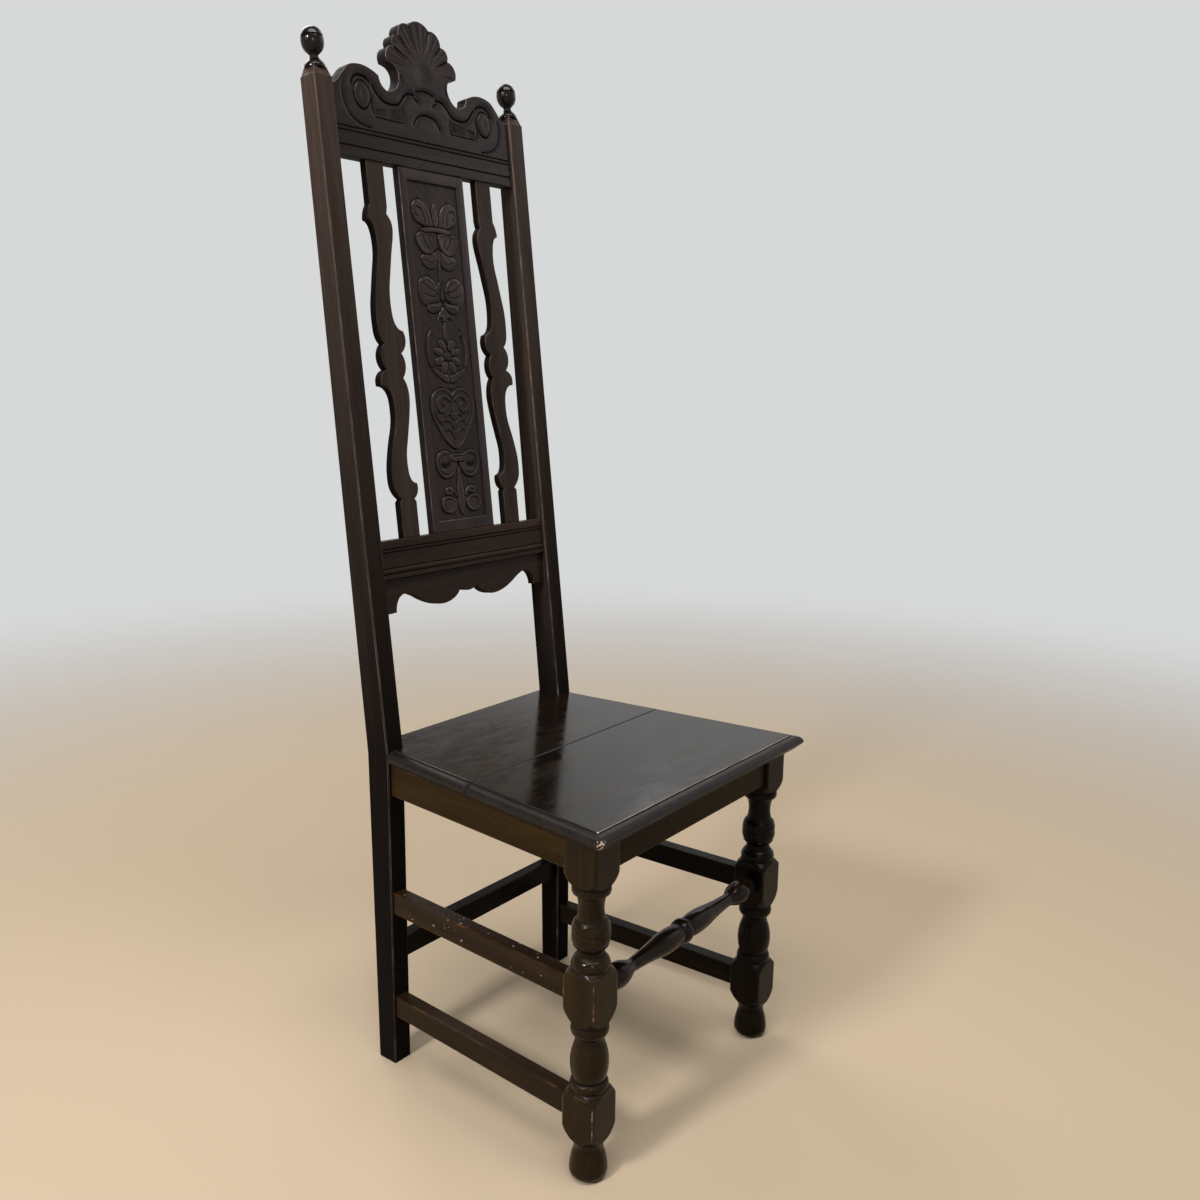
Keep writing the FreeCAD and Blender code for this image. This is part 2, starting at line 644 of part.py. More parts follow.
def corner_block(faces):
    """Left block glued into a corner of the seat frame, with its point cut back."""
    top = LEG_HEIGHT
    corners = [vec(x, y, top - CORNER_BLOCK_HEIGHT) for x, y in faces]
    return Part.Face(Part.makePolygon(corners + corners[:1])).extrude(vec(0, 0, CORNER_BLOCK_HEIGHT))


def rail_inner_x(y):
    """Inner face of the left side rail at a given depth."""
    start = (-FRONT_WIDTH / 2 + RAIL_SET_BACK + RAIL_THICK / 2, LEG_HALF)
    end = (-BACK_WIDTH / 2 + RAIL_SET_BACK + RAIL_THICK / 2, SIDE_DEPTH)
    slope = (end[0] - start[0]) / (end[1] - start[1])
    half = RAIL_THICK / 2 * math.hypot(1, slope)
    return start[0] + (y - start[1]) * slope + half


def front_corner_block():
    front = RAIL_SET_BACK + RAIL_THICK
    near = LEG_BLOCK + CORNER_BLOCK_GAP
    side = -LEG_INNER_X + CORNER_BLOCK_GAP
    far = near + CORNER_BLOCK_LEG
    return corner_block([
        (side, front),
        (side + CORNER_BLOCK_LEG, front),
        (rail_inner_x(far), far),
        (rail_inner_x(near), near),
        (side, near),
    ])


def back_corner_block():
    rear = SIDE_DEPTH + POST_DEPTH_SEAT - RAIL_THICK
    near = SIDE_DEPTH - CORNER_BLOCK_GAP
    side = -POST_INNER_X + CORNER_BLOCK_GAP
    far = near - CORNER_BLOCK_LEG
    return corner_block([
        (side, rear),
        (side, near),
        (rail_inner_x(near), near),
        (rail_inner_x(far), far),
        (side + CORNER_BLOCK_LEG, rear),
    ])


def build():
    """All pieces by name, with every mortise cut from the tenon that fills it."""
    leg = front_leg()
    post = back_post()
    pieces = {}
    pairs = {}

    for name, (piece, mortise) in {
        "seat_rail": side_rail(),
        "side_stretcher_upper": side_stretcher(UPPER_STRETCHER_LEVEL),
        "side_stretcher_lower": side_stretcher(LOWER_STRETCHER_LEVEL),
    }.items():
        pairs[name] = piece
        leg = leg.cut(mortise)
        post = post.cut(mortise)

    for name, maker in (("seat_rail_front", front_rail), ("front_stretcher", front_stretcher)):
        pieces[name], mortise = maker()
        leg = leg.cut(mortise)
    for name, maker in (("seat_rail_back", back_rail), ("back_stretcher", back_stretcher)):
        pieces[name], mortise = maker()
        post = post.cut(mortise)

    panel, panel_mortise = splat()
    slat, slat_mortise = fret_slat()
    panel_mortises = [panel_mortise, slat_mortise, mirrored(slat_mortise)]
    pieces["splat"] = leaned(panel)
    pieces["back_apron"] = leaned(back_apron())
    for name, maker in (("lower_back_rail", lower_back_rail), ("crest_rail", crest_rail)):
        piece, mortise = maker(panel_mortises)
        pieces[name] = leaned(piece)
        post = post.cut(leaned(mortise))

    pieces["seat_board_front"], pieces["seat_board_rear"] = seat_boards()
    left_finial = finial()
    pieces["finials"] = Part.makeCompound([left_finial, mirrored(left_finial)])
    pairs["fret_slat"] = mirrored(leaned(slat))
    pairs["front_leg"] = leg
    pairs["back_post"] = post
    pairs["corner_block_front"] = front_corner_block()
    pairs["corner_block_back"] = back_corner_block()
    for name, piece in pairs.items():
        pieces[name + "_left"] = piece
        pieces[name + "_right"] = mirrored(piece)
    return pieces


def main():
    os.makedirs("parts", exist_ok=True)
    pieces = build()
    bounds = Part.makeCompound(list(pieces.values())).BoundBox
    to_origin = vec(0, -bounds.Center.y, 0)
    for name, piece in sorted(pieces.items()):
        piece.translate(to_origin)
        piece.exportStep("parts/" + name + ".step")


main()
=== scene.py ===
import cmath
import itertools
import math

import bmesh
import bpy
import numpy as np
from mathutils import Matrix, Vector
from mathutils.geometry import delaunay_2d_cdt
from mathutils.kdtree import KDTree


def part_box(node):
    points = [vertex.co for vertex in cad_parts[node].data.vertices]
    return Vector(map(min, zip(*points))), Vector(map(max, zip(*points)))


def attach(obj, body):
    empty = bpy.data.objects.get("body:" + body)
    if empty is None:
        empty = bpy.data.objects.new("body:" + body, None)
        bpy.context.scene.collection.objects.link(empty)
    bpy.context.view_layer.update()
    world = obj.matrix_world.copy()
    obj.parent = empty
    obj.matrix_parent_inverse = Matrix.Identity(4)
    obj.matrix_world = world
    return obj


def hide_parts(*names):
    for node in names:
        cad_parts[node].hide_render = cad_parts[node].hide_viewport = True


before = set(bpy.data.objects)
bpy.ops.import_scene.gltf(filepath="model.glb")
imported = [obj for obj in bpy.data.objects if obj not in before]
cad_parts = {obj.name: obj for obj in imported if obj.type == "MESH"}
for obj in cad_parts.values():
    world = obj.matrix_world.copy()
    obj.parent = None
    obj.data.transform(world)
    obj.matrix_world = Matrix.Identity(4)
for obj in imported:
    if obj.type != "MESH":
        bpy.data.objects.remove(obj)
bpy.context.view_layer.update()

MM = 0.001
WELD = 1e-5
pieces_made = itertools.count()

# Sizes of the chair, in millimetres, in the frame of its back: x across, rise along the lean from the
# bend of the posts, set_back square to the lean from the fronts of the posts.
RAKE = math.radians(6.73)
ARRIS = 1.3
RAIL_HALF = 161.0
CREST_BASE, CREST_FACE, CREST_THICK = 772.0, 5.0, 18.0
PANEL_BASE, PANEL_FACE, PANEL_THICK = 284.0, 7.0, 12.0
SPLAT_HALF, FIELD_SIDE, FIELD_END, FIELD_SINK, FIELD_SLOPE = 60.0, 13.5, 15.5, 2.2, 0.8
SLAT_INNER = 86.0
APRON_TOP, APRON_FACE, APRON_THICK = 232.0, 10.0, 12.0
FINIAL_X, FINIAL_SET_BACK, FINIAL_BASE = 175.25, 14.0, 874.0
LEG_HALF, LEG_EDGE = 23.5, 1.1
RAIL_BASE, RAIL_TOP, RAIL_FACE, RAIL_THICK = 232.0, 284.0, 5.0, 18.0
BEAD_LOW, BEAD_HIGH, BEAD_PROUD = 239.0, 247.0, 0.6
RAIL_LINES, LINE_HALF, LINE_DEPTH = (268.0, 272.5), 1.2, 1.4
RAIL_LOW_EASE, RAIL_HIGH_EASE, RAIL_ROUND, QUIRK_WIDTH = 1.0, 1.2, 0.35, 1.0
MOULD_WIDTH, MOULD_QUIRK, MOULD_DROP, MOULD_LIP, MOULD_UNDERCUT = 12.5, 1.8, 9.0, 3.0, 8.0
MOULD_ROUND_IN, MOULD_ROUND_DOWN, MOULD_EASE = 0.3 * MOULD_WIDTH, 0.45 * MOULD_DROP, 0.4
SEAT_EASE, JOINT_EASE, NOTCH_CLEAR = 0.9, 1.8, 0.5
POST_ARRIS = 0.9

# Outlines, in millimetres. Each run goes on from the last point: one point is a straight line, two are an
# arc through the first to the second, and more are a smooth curve through them all.
SLAT_START = (0, 0)
SLAT_RUNS = [
    [(29.3, 0)], [(29.3, 47.5)], [(25.7, 52)],
    [(36.6, 66), (38.6, 88), (34.9, 111), (29.5, 131), (24.2, 148), (22, 164), (24, 188), (30.4, 198),
     (41, 201.5)], [(40.4, 213.5), (29.6, 222.5)], [(36.7, 239), (29.2, 256)],
    [(35.4, 265), (37.6, 284), (36.7, 306), (32.6, 328), (28.2, 350), (24.4, 368), (23.4, 384), (25.8, 402),
     (29.8, 410), (35.6, 413)], [(34.2, 422.5), (29.3, 433)], [(29.3, 488)], [(0, 488)], [(0, 432)],
    [(2.2, 423)],
    [(-4.4, 414), (-6, 404), (-4.8, 394), (0.4, 372), (5.4, 348), (9.6, 326), (10.4, 306), (7.8, 286),
     (2.4, 277), (-6, 273.2)], [(-9, 258), (0.3, 244)], [(-5.2, 228), (1.2, 211.5)],
    [(-4.2, 201), (-6.2, 187), (-4.6, 171), (-0.6, 151), (4, 131), (8.4, 112), (9, 96), (7.2, 82),
     (3.2, 75), (-4, 71.8)], [(-4.6, 61), (2.8, 51)], [(0, 47.5)], [(0, 0)],
]
APRON_HALF = [
    [(161, 0)], [(161, -46)], [(138, -45)],
    [(136.6, -36), (130.5, -26), (119.5, -22), (105, -26.6), (88, -36), (69, -43.4), (50, -46), (34, -43),
     (23, -37), (16.6, -29)], [(8.5, -33.2), (0, -34.5)],
]
CREST_HALF = [
    [(161, 0)], [(161, 84)],
    [(151, 90), (141, 101.5), (128.5, 113), (110, 117), (94, 114.8), (79.5, 108.5)],
    [(75.8, 98.2), (66, 92), (53, 97), (45.6, 108), (45, 118), (50, 126), (62.5, 130)],
    [(62.4, 144), (50, 152)], [(49.4, 163), (38.6, 168)], [(33.2, 182), (18.5, 185)], [(10, 191), (0, 193)],
]
LEG_FACE, LEG_SHOULDER, LEG_OUTSIDE = 23.38, 30.23, 34.08
LEG_TOP_BLOCK = (370, 390)
LEG_START = (14, 0)
LEG_RUNS = [
    [(21.4, 4.6), (LEG_FACE, 13)], [(22, 24), (18.8, 36)], [(18.9, 46), (LEG_FACE, 54)],
    [(LEG_SHOULDER, 65), (LEG_OUTSIDE, 81)], [(LEG_OUTSIDE, 107.2)], [(27.6, 115.2)], [(LEG_FACE, 118.6)],
    [(22.4, 119.8)], [(LEG_FACE, 124.2), (22.4, 128.6)], [(19.6, 131)], [(LEG_FACE, 153), (18.4, 178)],
    [(17.7, 184.5), (20.2, 189.5)], [(23.2, 196.2), (21.4, 203)], [(LEG_FACE, 207)],
    [(LEG_SHOULDER, 219), (LEG_OUTSIDE, 235)], [(LEG_OUTSIDE, 262.6)], [(27.6, 270.6)], [(LEG_FACE, 274)],
    [(22.4, 275.2)], [(LEG_FACE, 279.5), (20, 288)], [(16.3, 294.4), (19.2, 301)], [(21, 303.6)],
    [(20.4, 304.8)], [(21.4, 306)], [(22.9, 311), (22.9, 317.2)], [(22.1, 318.7)], [(22.9, 320.2)],
    [(22.6, 326), (20.4, 332.6)], [(17.6, 334.6)], [(15.3, 350), (17.8, 365)], [(22.4, 368.8)],
    [(LEG_FACE, 372.8), (22.4, 376.8)], [(LEG_FACE, 379)], [(LEG_SHOULDER, 388), (LEG_OUTSIDE, 400)],
    [(LEG_OUTSIDE, 437)],
]
FINIAL_START = (0, -2)
FINIAL_RUNS = [
    [(13.2, -2)], [(13.2, 0.4)],
    [(12.2, 2.6), (9.6, 6), (6.2, 9.6), (5.3, 12), (5.6, 13.8), (7.6, 15.6), (10.6, 18.4), (13.3, 23.6),
     (14.3, 30), (14, 33.8)], [(12.2, 34.8)], [(13.7, 35.9)],
    [(13.2, 37.6), (11.4, 41.6), (7.8, 45), (4, 46.6), (0, 47)],
]
STRETCHER_START = (16.4, 0)
STRETCHER_RUNS = [
    [(15.4, 5.4), (12.6, 9.2)], [(13.4, 11.5)], [(14.8, 33), (12.9, 58)], [(10.2, 82), (8.7, 106)],
    [(8.8, 113), (10.6, 119), (14, 128), (16, 140), (14.6, 152), (12.4, 160)], [(12.4, 168)],
]
STRETCHER_END_SHADE = (150, 158)

# Carving of the splat, right halves. Leaves and scrolls are closed outlines, as (points, height, dish), and
# later ones lie over earlier ones. One that starts and ends on the middle line goes across it. A negative
# dish is a dome.
SPLAT_LOBES = [
    ([(2, 668), (12, 666), (25, 664), (33, 657), (31, 649.5), (25, 644), (16, 641.5), (7, 645),
      (2, 655)], 1.6, -0.4),
    ([(1, 689), (1.5, 680), (5, 670), (11, 664), (20, 661), (29, 663.5), (36.5, 672), (38.5, 683),
      (34, 690), (24, 692.5), (10, 692)], 2, 0.7),
    ([(4, 697), (6.5, 709), (11, 721), (19, 730.5), (29, 734), (38, 730), (42.5, 721), (41, 710), (35, 703),
      (27, 700), (18, 697)], 2, -0.3),
    ([(0, 732), (4, 724), (6.2, 714), (5.2, 704), (3, 697), (0, 694)], 2.2, -0.5),
    ([(0, 698.5), (12, 698.5), (24, 697), (29, 693.5), (24, 690), (10, 691), (0, 691)], 2.2, -0.4),
    ([(6, 612), (9, 621), (16, 629), (27, 633), (38, 629), (44, 618), (43.5, 606), (39, 596.5), (31, 592),
      (24, 594), (14, 598), (7, 603)], 1.7, -0.5),
    ([(4, 601), (12, 597), (22, 596.5), (29.5, 593.5), (30.5, 588), (25, 583.5), (16, 583), (8, 586),
      (3.5, 592)], 1.5, -0.7),
    ([(0, 672), (3, 662), (2.4, 646), (1.8, 630), (2.2, 612), (3, 603), (0, 597)], 1.7, -0.3),
    ([(2, 628), (6, 623), (9, 616.5), (12, 608.5), (7, 610), (3.5, 616)], 1.7, -0.5),
    ([(0, 594), (4, 589), (10, 583), (13, 574), (6, 577), (2.5, 570), (0, 568)], 1.8, 0.2),
    ([(26, 564), (35, 553), (39.5, 538), (39, 523), (35, 511), (27, 502), (30.5, 512), (33.5, 524),
      (33.5, 537), (30, 551)], 2, 0.2),
    ([(0, 573), (3.2, 567), (4.2, 556), (3.4, 546), (0, 541)], 1.7, -0.5),
    ([(1.5, 488), (9, 490), (18, 494.5), (28, 502), (33.5, 511), (24, 507.5), (12, 503),
      (2, 499)], 1.6, -0.5),
    ([(0, 473.5), (5, 478.5), (12, 482), (20, 482.5), (31, 478.5), (39.5, 470), (43, 458), (40.5, 444),
      (31, 426), (20, 409.5), (9, 400), (0, 396.5)], 2.1, 1.8),
    ([(1.5, 379), (7, 386), (13, 392.5), (21, 396.5), (31, 396), (38.5, 391), (42.5, 382), (41.5, 371),
      (36, 362), (27, 357), (16, 358.5), (8, 364)], 2.2, 1.1),
    ([(8, 326), (16, 331), (27, 334), (36, 331), (39.5, 321), (35, 312), (27, 308.5), (17, 309.5),
      (10.5, 315)], 2.1, 0.8),
    ([(6, 333), (11, 341), (18, 346), (26, 345.5), (30.5, 340), (28, 334.5), (20, 334), (14, 337),
      (10, 331)], 1.5, -0.7),
    ([(0, 380), (2.5, 370), (4, 358), (6, 346), (7, 334), (6.5, 320), (4, 311), (0, 304)], 1.7, -0.5),
    ([(0, 391), (9, 391.5), (15, 389.5), (15, 382), (9, 379.5), (0, 380)], 2.2, 0),
]
# Ridges inside them, as (points, half width at the start, half width at the end, height).
SPLAT_RIDGES = [
    ([(6, 466), (15, 471), (25, 467), (29.5, 459), (26, 451), (18, 450), (14.5, 456),
      (18.5, 461)], 3, 2.2, 2.2), ([(0, 464), (0, 432), (0, 402)], 2.2, 2, 2),
    ([(1, 440), (8, 447), (15, 444)], 3, 1.2, 2), ([(1, 428), (10, 437.5), (20, 437)], 3, 1.2, 2),
    ([(1, 414), (9, 424.5), (18, 425)], 3, 1.2, 2), ([(33, 452), (30, 441), (22, 432)], 2.4, 1.2, 1.6),
]
# Cuts in them, as (points, half width, depth).
SPLAT_CUTS = [
    ([(20, 701), (22, 712), (27.5, 721), (35, 722), (37.5, 715), (33, 711)], 1.3, 1.5),
    ([(12, 702), (14, 712), (19, 722)], 1, 0.9), ([(26, 686), (23, 677), (16, 669)], 1.3, 1.4),
    ([(16, 686), (14, 678), (9.5, 672)], 1, 0.8), ([(11, 612), (20, 614), (29, 619), (36, 624)], 1.2, 1),
    ([(12, 606), (22, 605), (34, 609)], 1.2, 1), ([(13, 619), (19, 623.5), (27, 627)], 1.1, 0.9),
    ([(7, 653), (16, 650), (26, 654)], 1, 0.8), ([(9, 591), (17, 590), (24, 590)], 1, 0.9),
    ([(8, 496), (15, 498), (22, 502.5)], 1, 0.8), ([(19, 376), (24, 374.5), (30, 376)], 6.5, 1.9),
    ([(14, 366), (24, 363), (34, 368), (37, 378), (32, 387), (22, 389)], 1.2, 1.1),
    ([(0, 387.5), (4, 387.5), (8, 387.5)], 1.1, 1.3), ([(20, 340), (22, 340), (24, 340)], 2.2, 1.2),
    ([(17, 327), (27, 328), (33, 322), (29, 314)], 1.2, 1.1), ([(0, 350), (0, 330), (0, 310)], 0.9, 0.8),
]
SPLAT_BEADS = [(0, 525, 6), (28, 555, 2.6), (0, 483, 3.4), (11, 588, 2.2), (0, 604, 2.4), (0, 548, 3)]
ROSETTE, PETAL_REACH, PETAL_HALF_LENGTH, PETAL_HALF_WIDTH = (0, 525), 17, 9.5, 6.3
PETAL_TURNS = (61, 20, -21, -62)
PETAL_POINTS, PETAL_FORM = 10, (1.5, -0.7)
LOBE_RIM, LOBE_FOOT, LOBE_DISH, LOBE_CUT = 2.6, 1.1, 3.5, 1.3
# Darkness of dishes, ridge feet and the field's edges below is painted shade; the rubbed rims and the
# field's lower edge also carry a painted highlight.
DISH_LINE, DISH_LINE_WIDTH, DISH_SHADE = 4.0, 1.1, 0.4
RIM_HIGHLIGHT_WIDTH, RIM_RUB_AND_HIGHLIGHT, BEAD_BULGE, RIDGE_FOOT_SHADE = 1.2, 0.5, 0.8, 0.8
FIELD_FOOT_WIDTH, FIELD_EDGE_SHADOW, LIT_LEDGE_WIDTH, FIELD_LAP = 0.8, 0.7, 0.7, 2.0
RIM_SHADE, FOOT_SHADE, CUT_SHADE = (0.3, 0.8), (0.0, 0.6), (0.1, 0.6)
# Cuts of the crest, above its foot: right halves, as (points, half width, depth).
CREST_CUTS = [
    ([(0, 13), (161, 13)], 1.3, 1.7), ([(0, 31), (161, 31)], 1.2, 1.7), ([(0, 36), (161, 36)], 1.2, 1.7),
    ([(20, 95), (33, 94), (40, 88), (48, 79), (58, 76), (70, 76), (80, 80), (88, 88), (92, 94)], 2.4, 3.6),
    ([(0, 103), (8, 102.5), (16, 100)], 2, 3), ([(0, 72), (12, 70), (18, 66), (24, 57)], 2.1, 3.2),
    ([(141, 88), (143, 76), (140, 62), (132, 50), (119, 43), (102, 40)], 1.6, 1.8),
    ([(97, 97), (104, 102), (114, 103), (122, 99), (127, 90)], 2.6, 3.6), ([(43, 55), (92, 55)], 1.4, 1.8),
    ([(43, 55), (42, 66), (44, 74)], 1.4, 1.8), ([(94, 58), (97, 70), (93, 82)], 1.4, 1.6),
    ([(14, 87), (20, 91)], 2.4, 1.8), ([(40, 108), (41, 116)], 1.6, 1.5),
]
CUT_FLANK, CUT_FLANK_REACH, CARVED_FROM, CUT_DEPTH_SHADE, CREST_RUB = 0.3, 3.5, 40, 1 / 6, 0.3
LINE_SHADE, ROUND_SHADE, FLUTE_SHADE = (0.05, 0.5), (0.05, 0.6), (0.0, 0.5)
VOLUTE, VOLUTE_DISC, VOLUTE_CLEAR = (111.5, 79), (13.5, 17.5), 1.1
VOLUTE_LINE, VOLUTE_DEPTH, VOLUTE_BULGE, VOLUTE_EYE, VOLUTE_EYE_DEPTH = 1.7, 2.1, 1.6, 0.3, 0.9
VOLUTE_RUBBED = (0.6, 0.9)
TABLET, TABLET_LEAN, TABLET_EDGE = (44, 92, 56, 74), 9, (-0.3, 1.6)
TABLET_SINK, TABLET_SCOOP, TABLET_RIDGE, TABLET_RIDGE_AT = 0.9, 1.3, 0.9, (0.6, 0.15)
REED_PITCH, REED_DEPTH, REED_END = 4.6, 0.7, (0.5, 0.3)
SHELL_HUB, SHELL_HUB_SIZE, SHELL_HUB_DEPTH = 126, 20, 1.2
SHELL_REACH, SHELL_RISE, SHELL_LIFT, SHELL_SINK = (16, 52), (-2, 14), 2.6, 2.1
SHELL_FLUTES = [(18.5, 185), (38.6, 168), (50, 152), (62.5, 131)]
FLUTE_BODY, FLUTE_FALL, FLUTE_RIM, FLUTE_RIM_AT = 0.85, 0.25, 0.22, (2.6, 0.9)
FLUTE_EDGE, FLUTE_RIPPLE, FLUTE_RUBBED = (0.2, 1.8), 0.1, (0.8, 1.1)

# Fineness of the meshes: steps and gaps in millimetres, angles in degrees from which an edge is sharp.
STROKE_STEP, CUT_STEP, LINE_STEP, SPLAT_STEP, FINIAL_STEP = 1.1, 2.0, 4.0, 6.0, 0.8
SEAT_STEP, MOULD_STEP, BEAD_STEP = 6.0, 1.2, 0.8
CREST_SPACING, SPLAT_SPACING, GRID_MARGIN, GRID_GAP, GRID_SLACK = 1.0, 0.9, 0.6, 0.55, 0.01
MIDDLE_CLEAR, EDGE_CLEAR, LEAST_RADIUS, LEAST_REACH = 0.3, 2.0, 0.05, 0.6
LEG_COLUMNS, FINIAL_COLUMNS, ARRIS_RINGS = 128, 48, 5
BOARD_SHARP, TURNED_SHARP, SEAT_SHARP, RAIL_SHARP = 50, 48, 35, 30
FLAT_ANGLE, EDGE_ANGLE = math.radians(1), math.radians(28)

# Painted shade, even darkening and rubbing, from 0 to 1, and where on a piece they come.
SAWN_SIDE_SHADE, GROUND_DARKENING, BORDER_DARKENING, POST_PAINTED_SHADE = 0.75, 0.44, 0.3, 0.95
PAINTED_SHADE_LEVELS = (0.50, 0.92)
REAR_RUB, RING_RUB, FACE_RUB, JOINT_RUB, SEAT_RUBS = 0.6, 0.35, 0.05, 0.2, (0.3, 0.4)
RING_NEAR, RING_PROUD, RING_SUNK = 5.0, 2.5, 1.7
CORNER_RADII, CORNER_LEANS, TOP_BLOCK_KEPT = (29, 33), (0.02, 0.09), 0.8

# Tones of the oak, each from deep to streak, and of what shows where it is rubbed. The pale rubbed tones
# also paint the highlight on the posts' arrises and on carved rims.
WARM = [(0.016, 0.01, 0.0072), (0.034, 0.022, 0.0165), (0.056, 0.0365, 0.0265)]
GOLDEN = [(0.0165, 0.0082, 0.0022), (0.038, 0.0195, 0.0052), (0.066, 0.0345, 0.0092)]
BROWN = [(0.0105, 0.0052, 0.0022), (0.0235, 0.0116, 0.0048), (0.041, 0.0205, 0.0085)]
REDDISH = [(0.011, 0.0062, 0.0042), (0.0245, 0.014, 0.0094), (0.043, 0.0245, 0.016)]
SOOTY = [(0.0098, 0.0064, 0.0056), (0.02, 0.0134, 0.012), (0.036, 0.024, 0.0208)]
RUSSET = [(0.0122, 0.0071, 0.0063), (0.0246, 0.0146, 0.013), (0.04, 0.0238, 0.0208)]
UMBER = [(0.0072, 0.0036, 0.0009), (0.0165, 0.0086, 0.002), (0.031, 0.0165, 0.0042)]
TAWNY = [(0.004, 0.0021, 0.001), (0.0095, 0.0047, 0.0019), (0.026, 0.0118, 0.0044)]
DARK = [(0.003, 0.0018, 0.0011), (0.0064, 0.0038, 0.0022), (0.012, 0.0072, 0.0038)]
BLACK = [(0.0024, 0.0014, 0.0011), (0.0044, 0.0025, 0.0018), (0.008, 0.0042, 0.0028)]
RUBBED_BROWN = [(0.02, 0.009, 0.0035), (0.06, 0.027, 0.01), (0.36, 0.2, 0.1)]
PALE_RUB_AND_SHEEN = [(0.03, 0.021, 0.015), (0.08, 0.06, 0.048), (0.19, 0.15, 0.13)]
RUBBED_BARE = [(0.03, 0.016, 0.008), (0.14, 0.085, 0.052), (0.48, 0.35, 0.27)]
# The darkening tone paints shade into hollows, cuts, sawn sides and the posts' low parts, and darkens the
# seat joints.
PORE_TONE, SHADE_AND_DIRT_TONE, FLECK_TONE = (0.0022, 0.0014, 0.001), (0.0016, 0.001, 0.0007), (0.34, 0.29, 0.21)
BARE_TONES = [(0.1, 0.055, 0.026), (0.2, 0.12, 0.06), (0.27, 0.17, 0.09)]
BARE_STAIN = (0.07, 0.04, 0.02)
# Noises in the wood, as (scale along and across the grain, detail, distortion): figure, lines, pores, cloud
# and smudge. Then the range of each that shows, and how much of it.
OAK_NOISES = (
    ((2.2, 26, 26), 5, 0.6), ((7, 210, 210), 4, 0.2), ((34, 1150, 1150), 2), ((5, 9, 9), 3),
    ((22, 60, 60), 5, 1.0),
)
BARE_NOISES = ((30, 60, 420), 4, 0.8), ((40, 40, 40), 5)
FLECK_NOISE, KNOCK_NOISE = ((150, 210, 210), 1), ((260, 330, 410), 3)
TONE_STOPS, RUB_STOPS, BARE_STOPS = (0.3, 0.5, 0.7), (0.0, 0.4, 0.9), (0.3, 0.55, 0.75)
LINES_SHOW, CLOUD_SHOW, SHADE_AND_DIRT_SHOWS, STAIN_SHOWS = (
    (0.35, 0.7, 0, 0.6), (0.35, 0.75, 0, 0.45), (0, 1, 0, 0.97), (0.4, 0.7, 0, 0.6))
PORES_SHOW, FLECKS_SHOW, RUB_SHOWS = (0.6, 0.72), (0.735, 0.76), (0.06, 0.5)
SMUDGE_RANGE, ROUGH_RANGE = (0.34, 0.66), (0.3, 0.7)
PORE_DEPTH, SMOOTHER, ROUGHER, SHADE_AND_DIRT_DULL = 0.75, 0.06, 0.08, 0.75
LINES_BUMP, PORES_BUMP, FIGURE_BUMP, BUMP_HEIGHT, BARE_BUMP_HEIGHT = 0.4, -0.7, 0.5, 0.4 * MM, 0.6 * MM
EDGE_KNOCK, TOP_KNOCK = 6.5 * MM, 3 * MM
GRAIN_SHIFT = (1.37, 0.53, 0.71)

# The stage, in metres and watts. Heights and sides of the surroundings are parts of a direction of length 1.
FLOOR_REACH, FLOOR_FADE, FLOOR_TONE = 6.0, (0.9, 3.6), (0.455, 0.355, 0.245)
WALL_TONE, CEILING_TONE, OVERHEAD = (0.68, 0.69, 0.69), (0.2, 0.2, 0.2), (0.32, 0.85)
DARK_SIDE, DARK_SIDE_TONE = (-0.643, 0.766, 0.0), (0.23, 0.2, 0.172)
DARK_SIDE_EDGE, DARK_SIDE_FROM = (-0.03, 0.05), (0.285, 0.3)
SKY_TONE, SKY_STRENGTH = (0.95, 0.97, 1.0), 0.07
LAMP_TARGET = (0.0, 0.0, 0.65)
LAMPS = (
    ("ceiling_lamp", (-0.7, -1.0, 3.8), (3.2, 1.2), 120),
    ("key_lamp", (-2.9, 0.1, 2.5), (0.5, 0.5), 98),
    ("side_lamp", (2.3, 0.6, 2.6), (2.0, 2.0), 14),
    ("front_lamp", (2.5, -1.5, 2.3), (1.2, 1.2), 3.5),
    ("rear_lamp", (0.6, 2.6, 3.4), (2.0, 2.0), 60),
    ("window_lamp", (-1.9, -2.2, 1.9), (0.3, 0.45), 9),
)
CAMERA_PLACE, CAMERA_TURNS = (-1.1310, -0.9514, 0.9556), (0.9126, 0.2042, -0.0136)
CAMERA_SENSOR, CAMERA_LENS = 36.0, 33.7

SEAT_LOW, SEAT_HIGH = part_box("seat_board_front")
BEND = Vector((0.0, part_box("back_post_left")[0].y, (SEAT_LOW.z + SEAT_HIGH.z) / 2))
UP_BACK = Vector((0.0, math.sin(RAKE), math.cos(RAKE)))
INTO_BACK = Vector((0.0, math.cos(RAKE), -math.sin(RAKE)))
ACROSS, DEEP, UPRIGHT = (1, 0, 0), (0, 1, 0), (0, 0, 1)


def on_back(x, rise, set_back):
    """Places in the chair's frame, in metres, of points on the leaning back, in millimetres."""
    x, rise, set_back = np.broadcast_arrays(x, rise, set_back)
    ways = (x, ACROSS), (rise, UP_BACK), (set_back, INTO_BACK)
    return np.array(BEND) + MM * sum(np.multiply.outer(far, np.array(way, float)) for far, way in ways)


def arc(first, middle, last, step):
    """Points on the circle through three points, after the first."""
    a, b, c = (complex(*point) for point in (first, middle, last))
    ratio = (c - a) / (b - a)
    centre = a + (b - a) * (ratio - abs(ratio) ** 2) / (ratio - ratio.conjugate())
    half_way, sweep = (cmath.phase((point - centre) / (a - centre)) % math.tau for point in (b, c))
    if half_way > sweep:
        sweep -= math.tau
    count = max(3, round(abs(sweep) * abs(a - centre) / step))
    points = centre + (a - centre) * np.exp(1j * sweep * np.arange(1, count + 1) / count)
    return list(zip(points.real, points.imag))


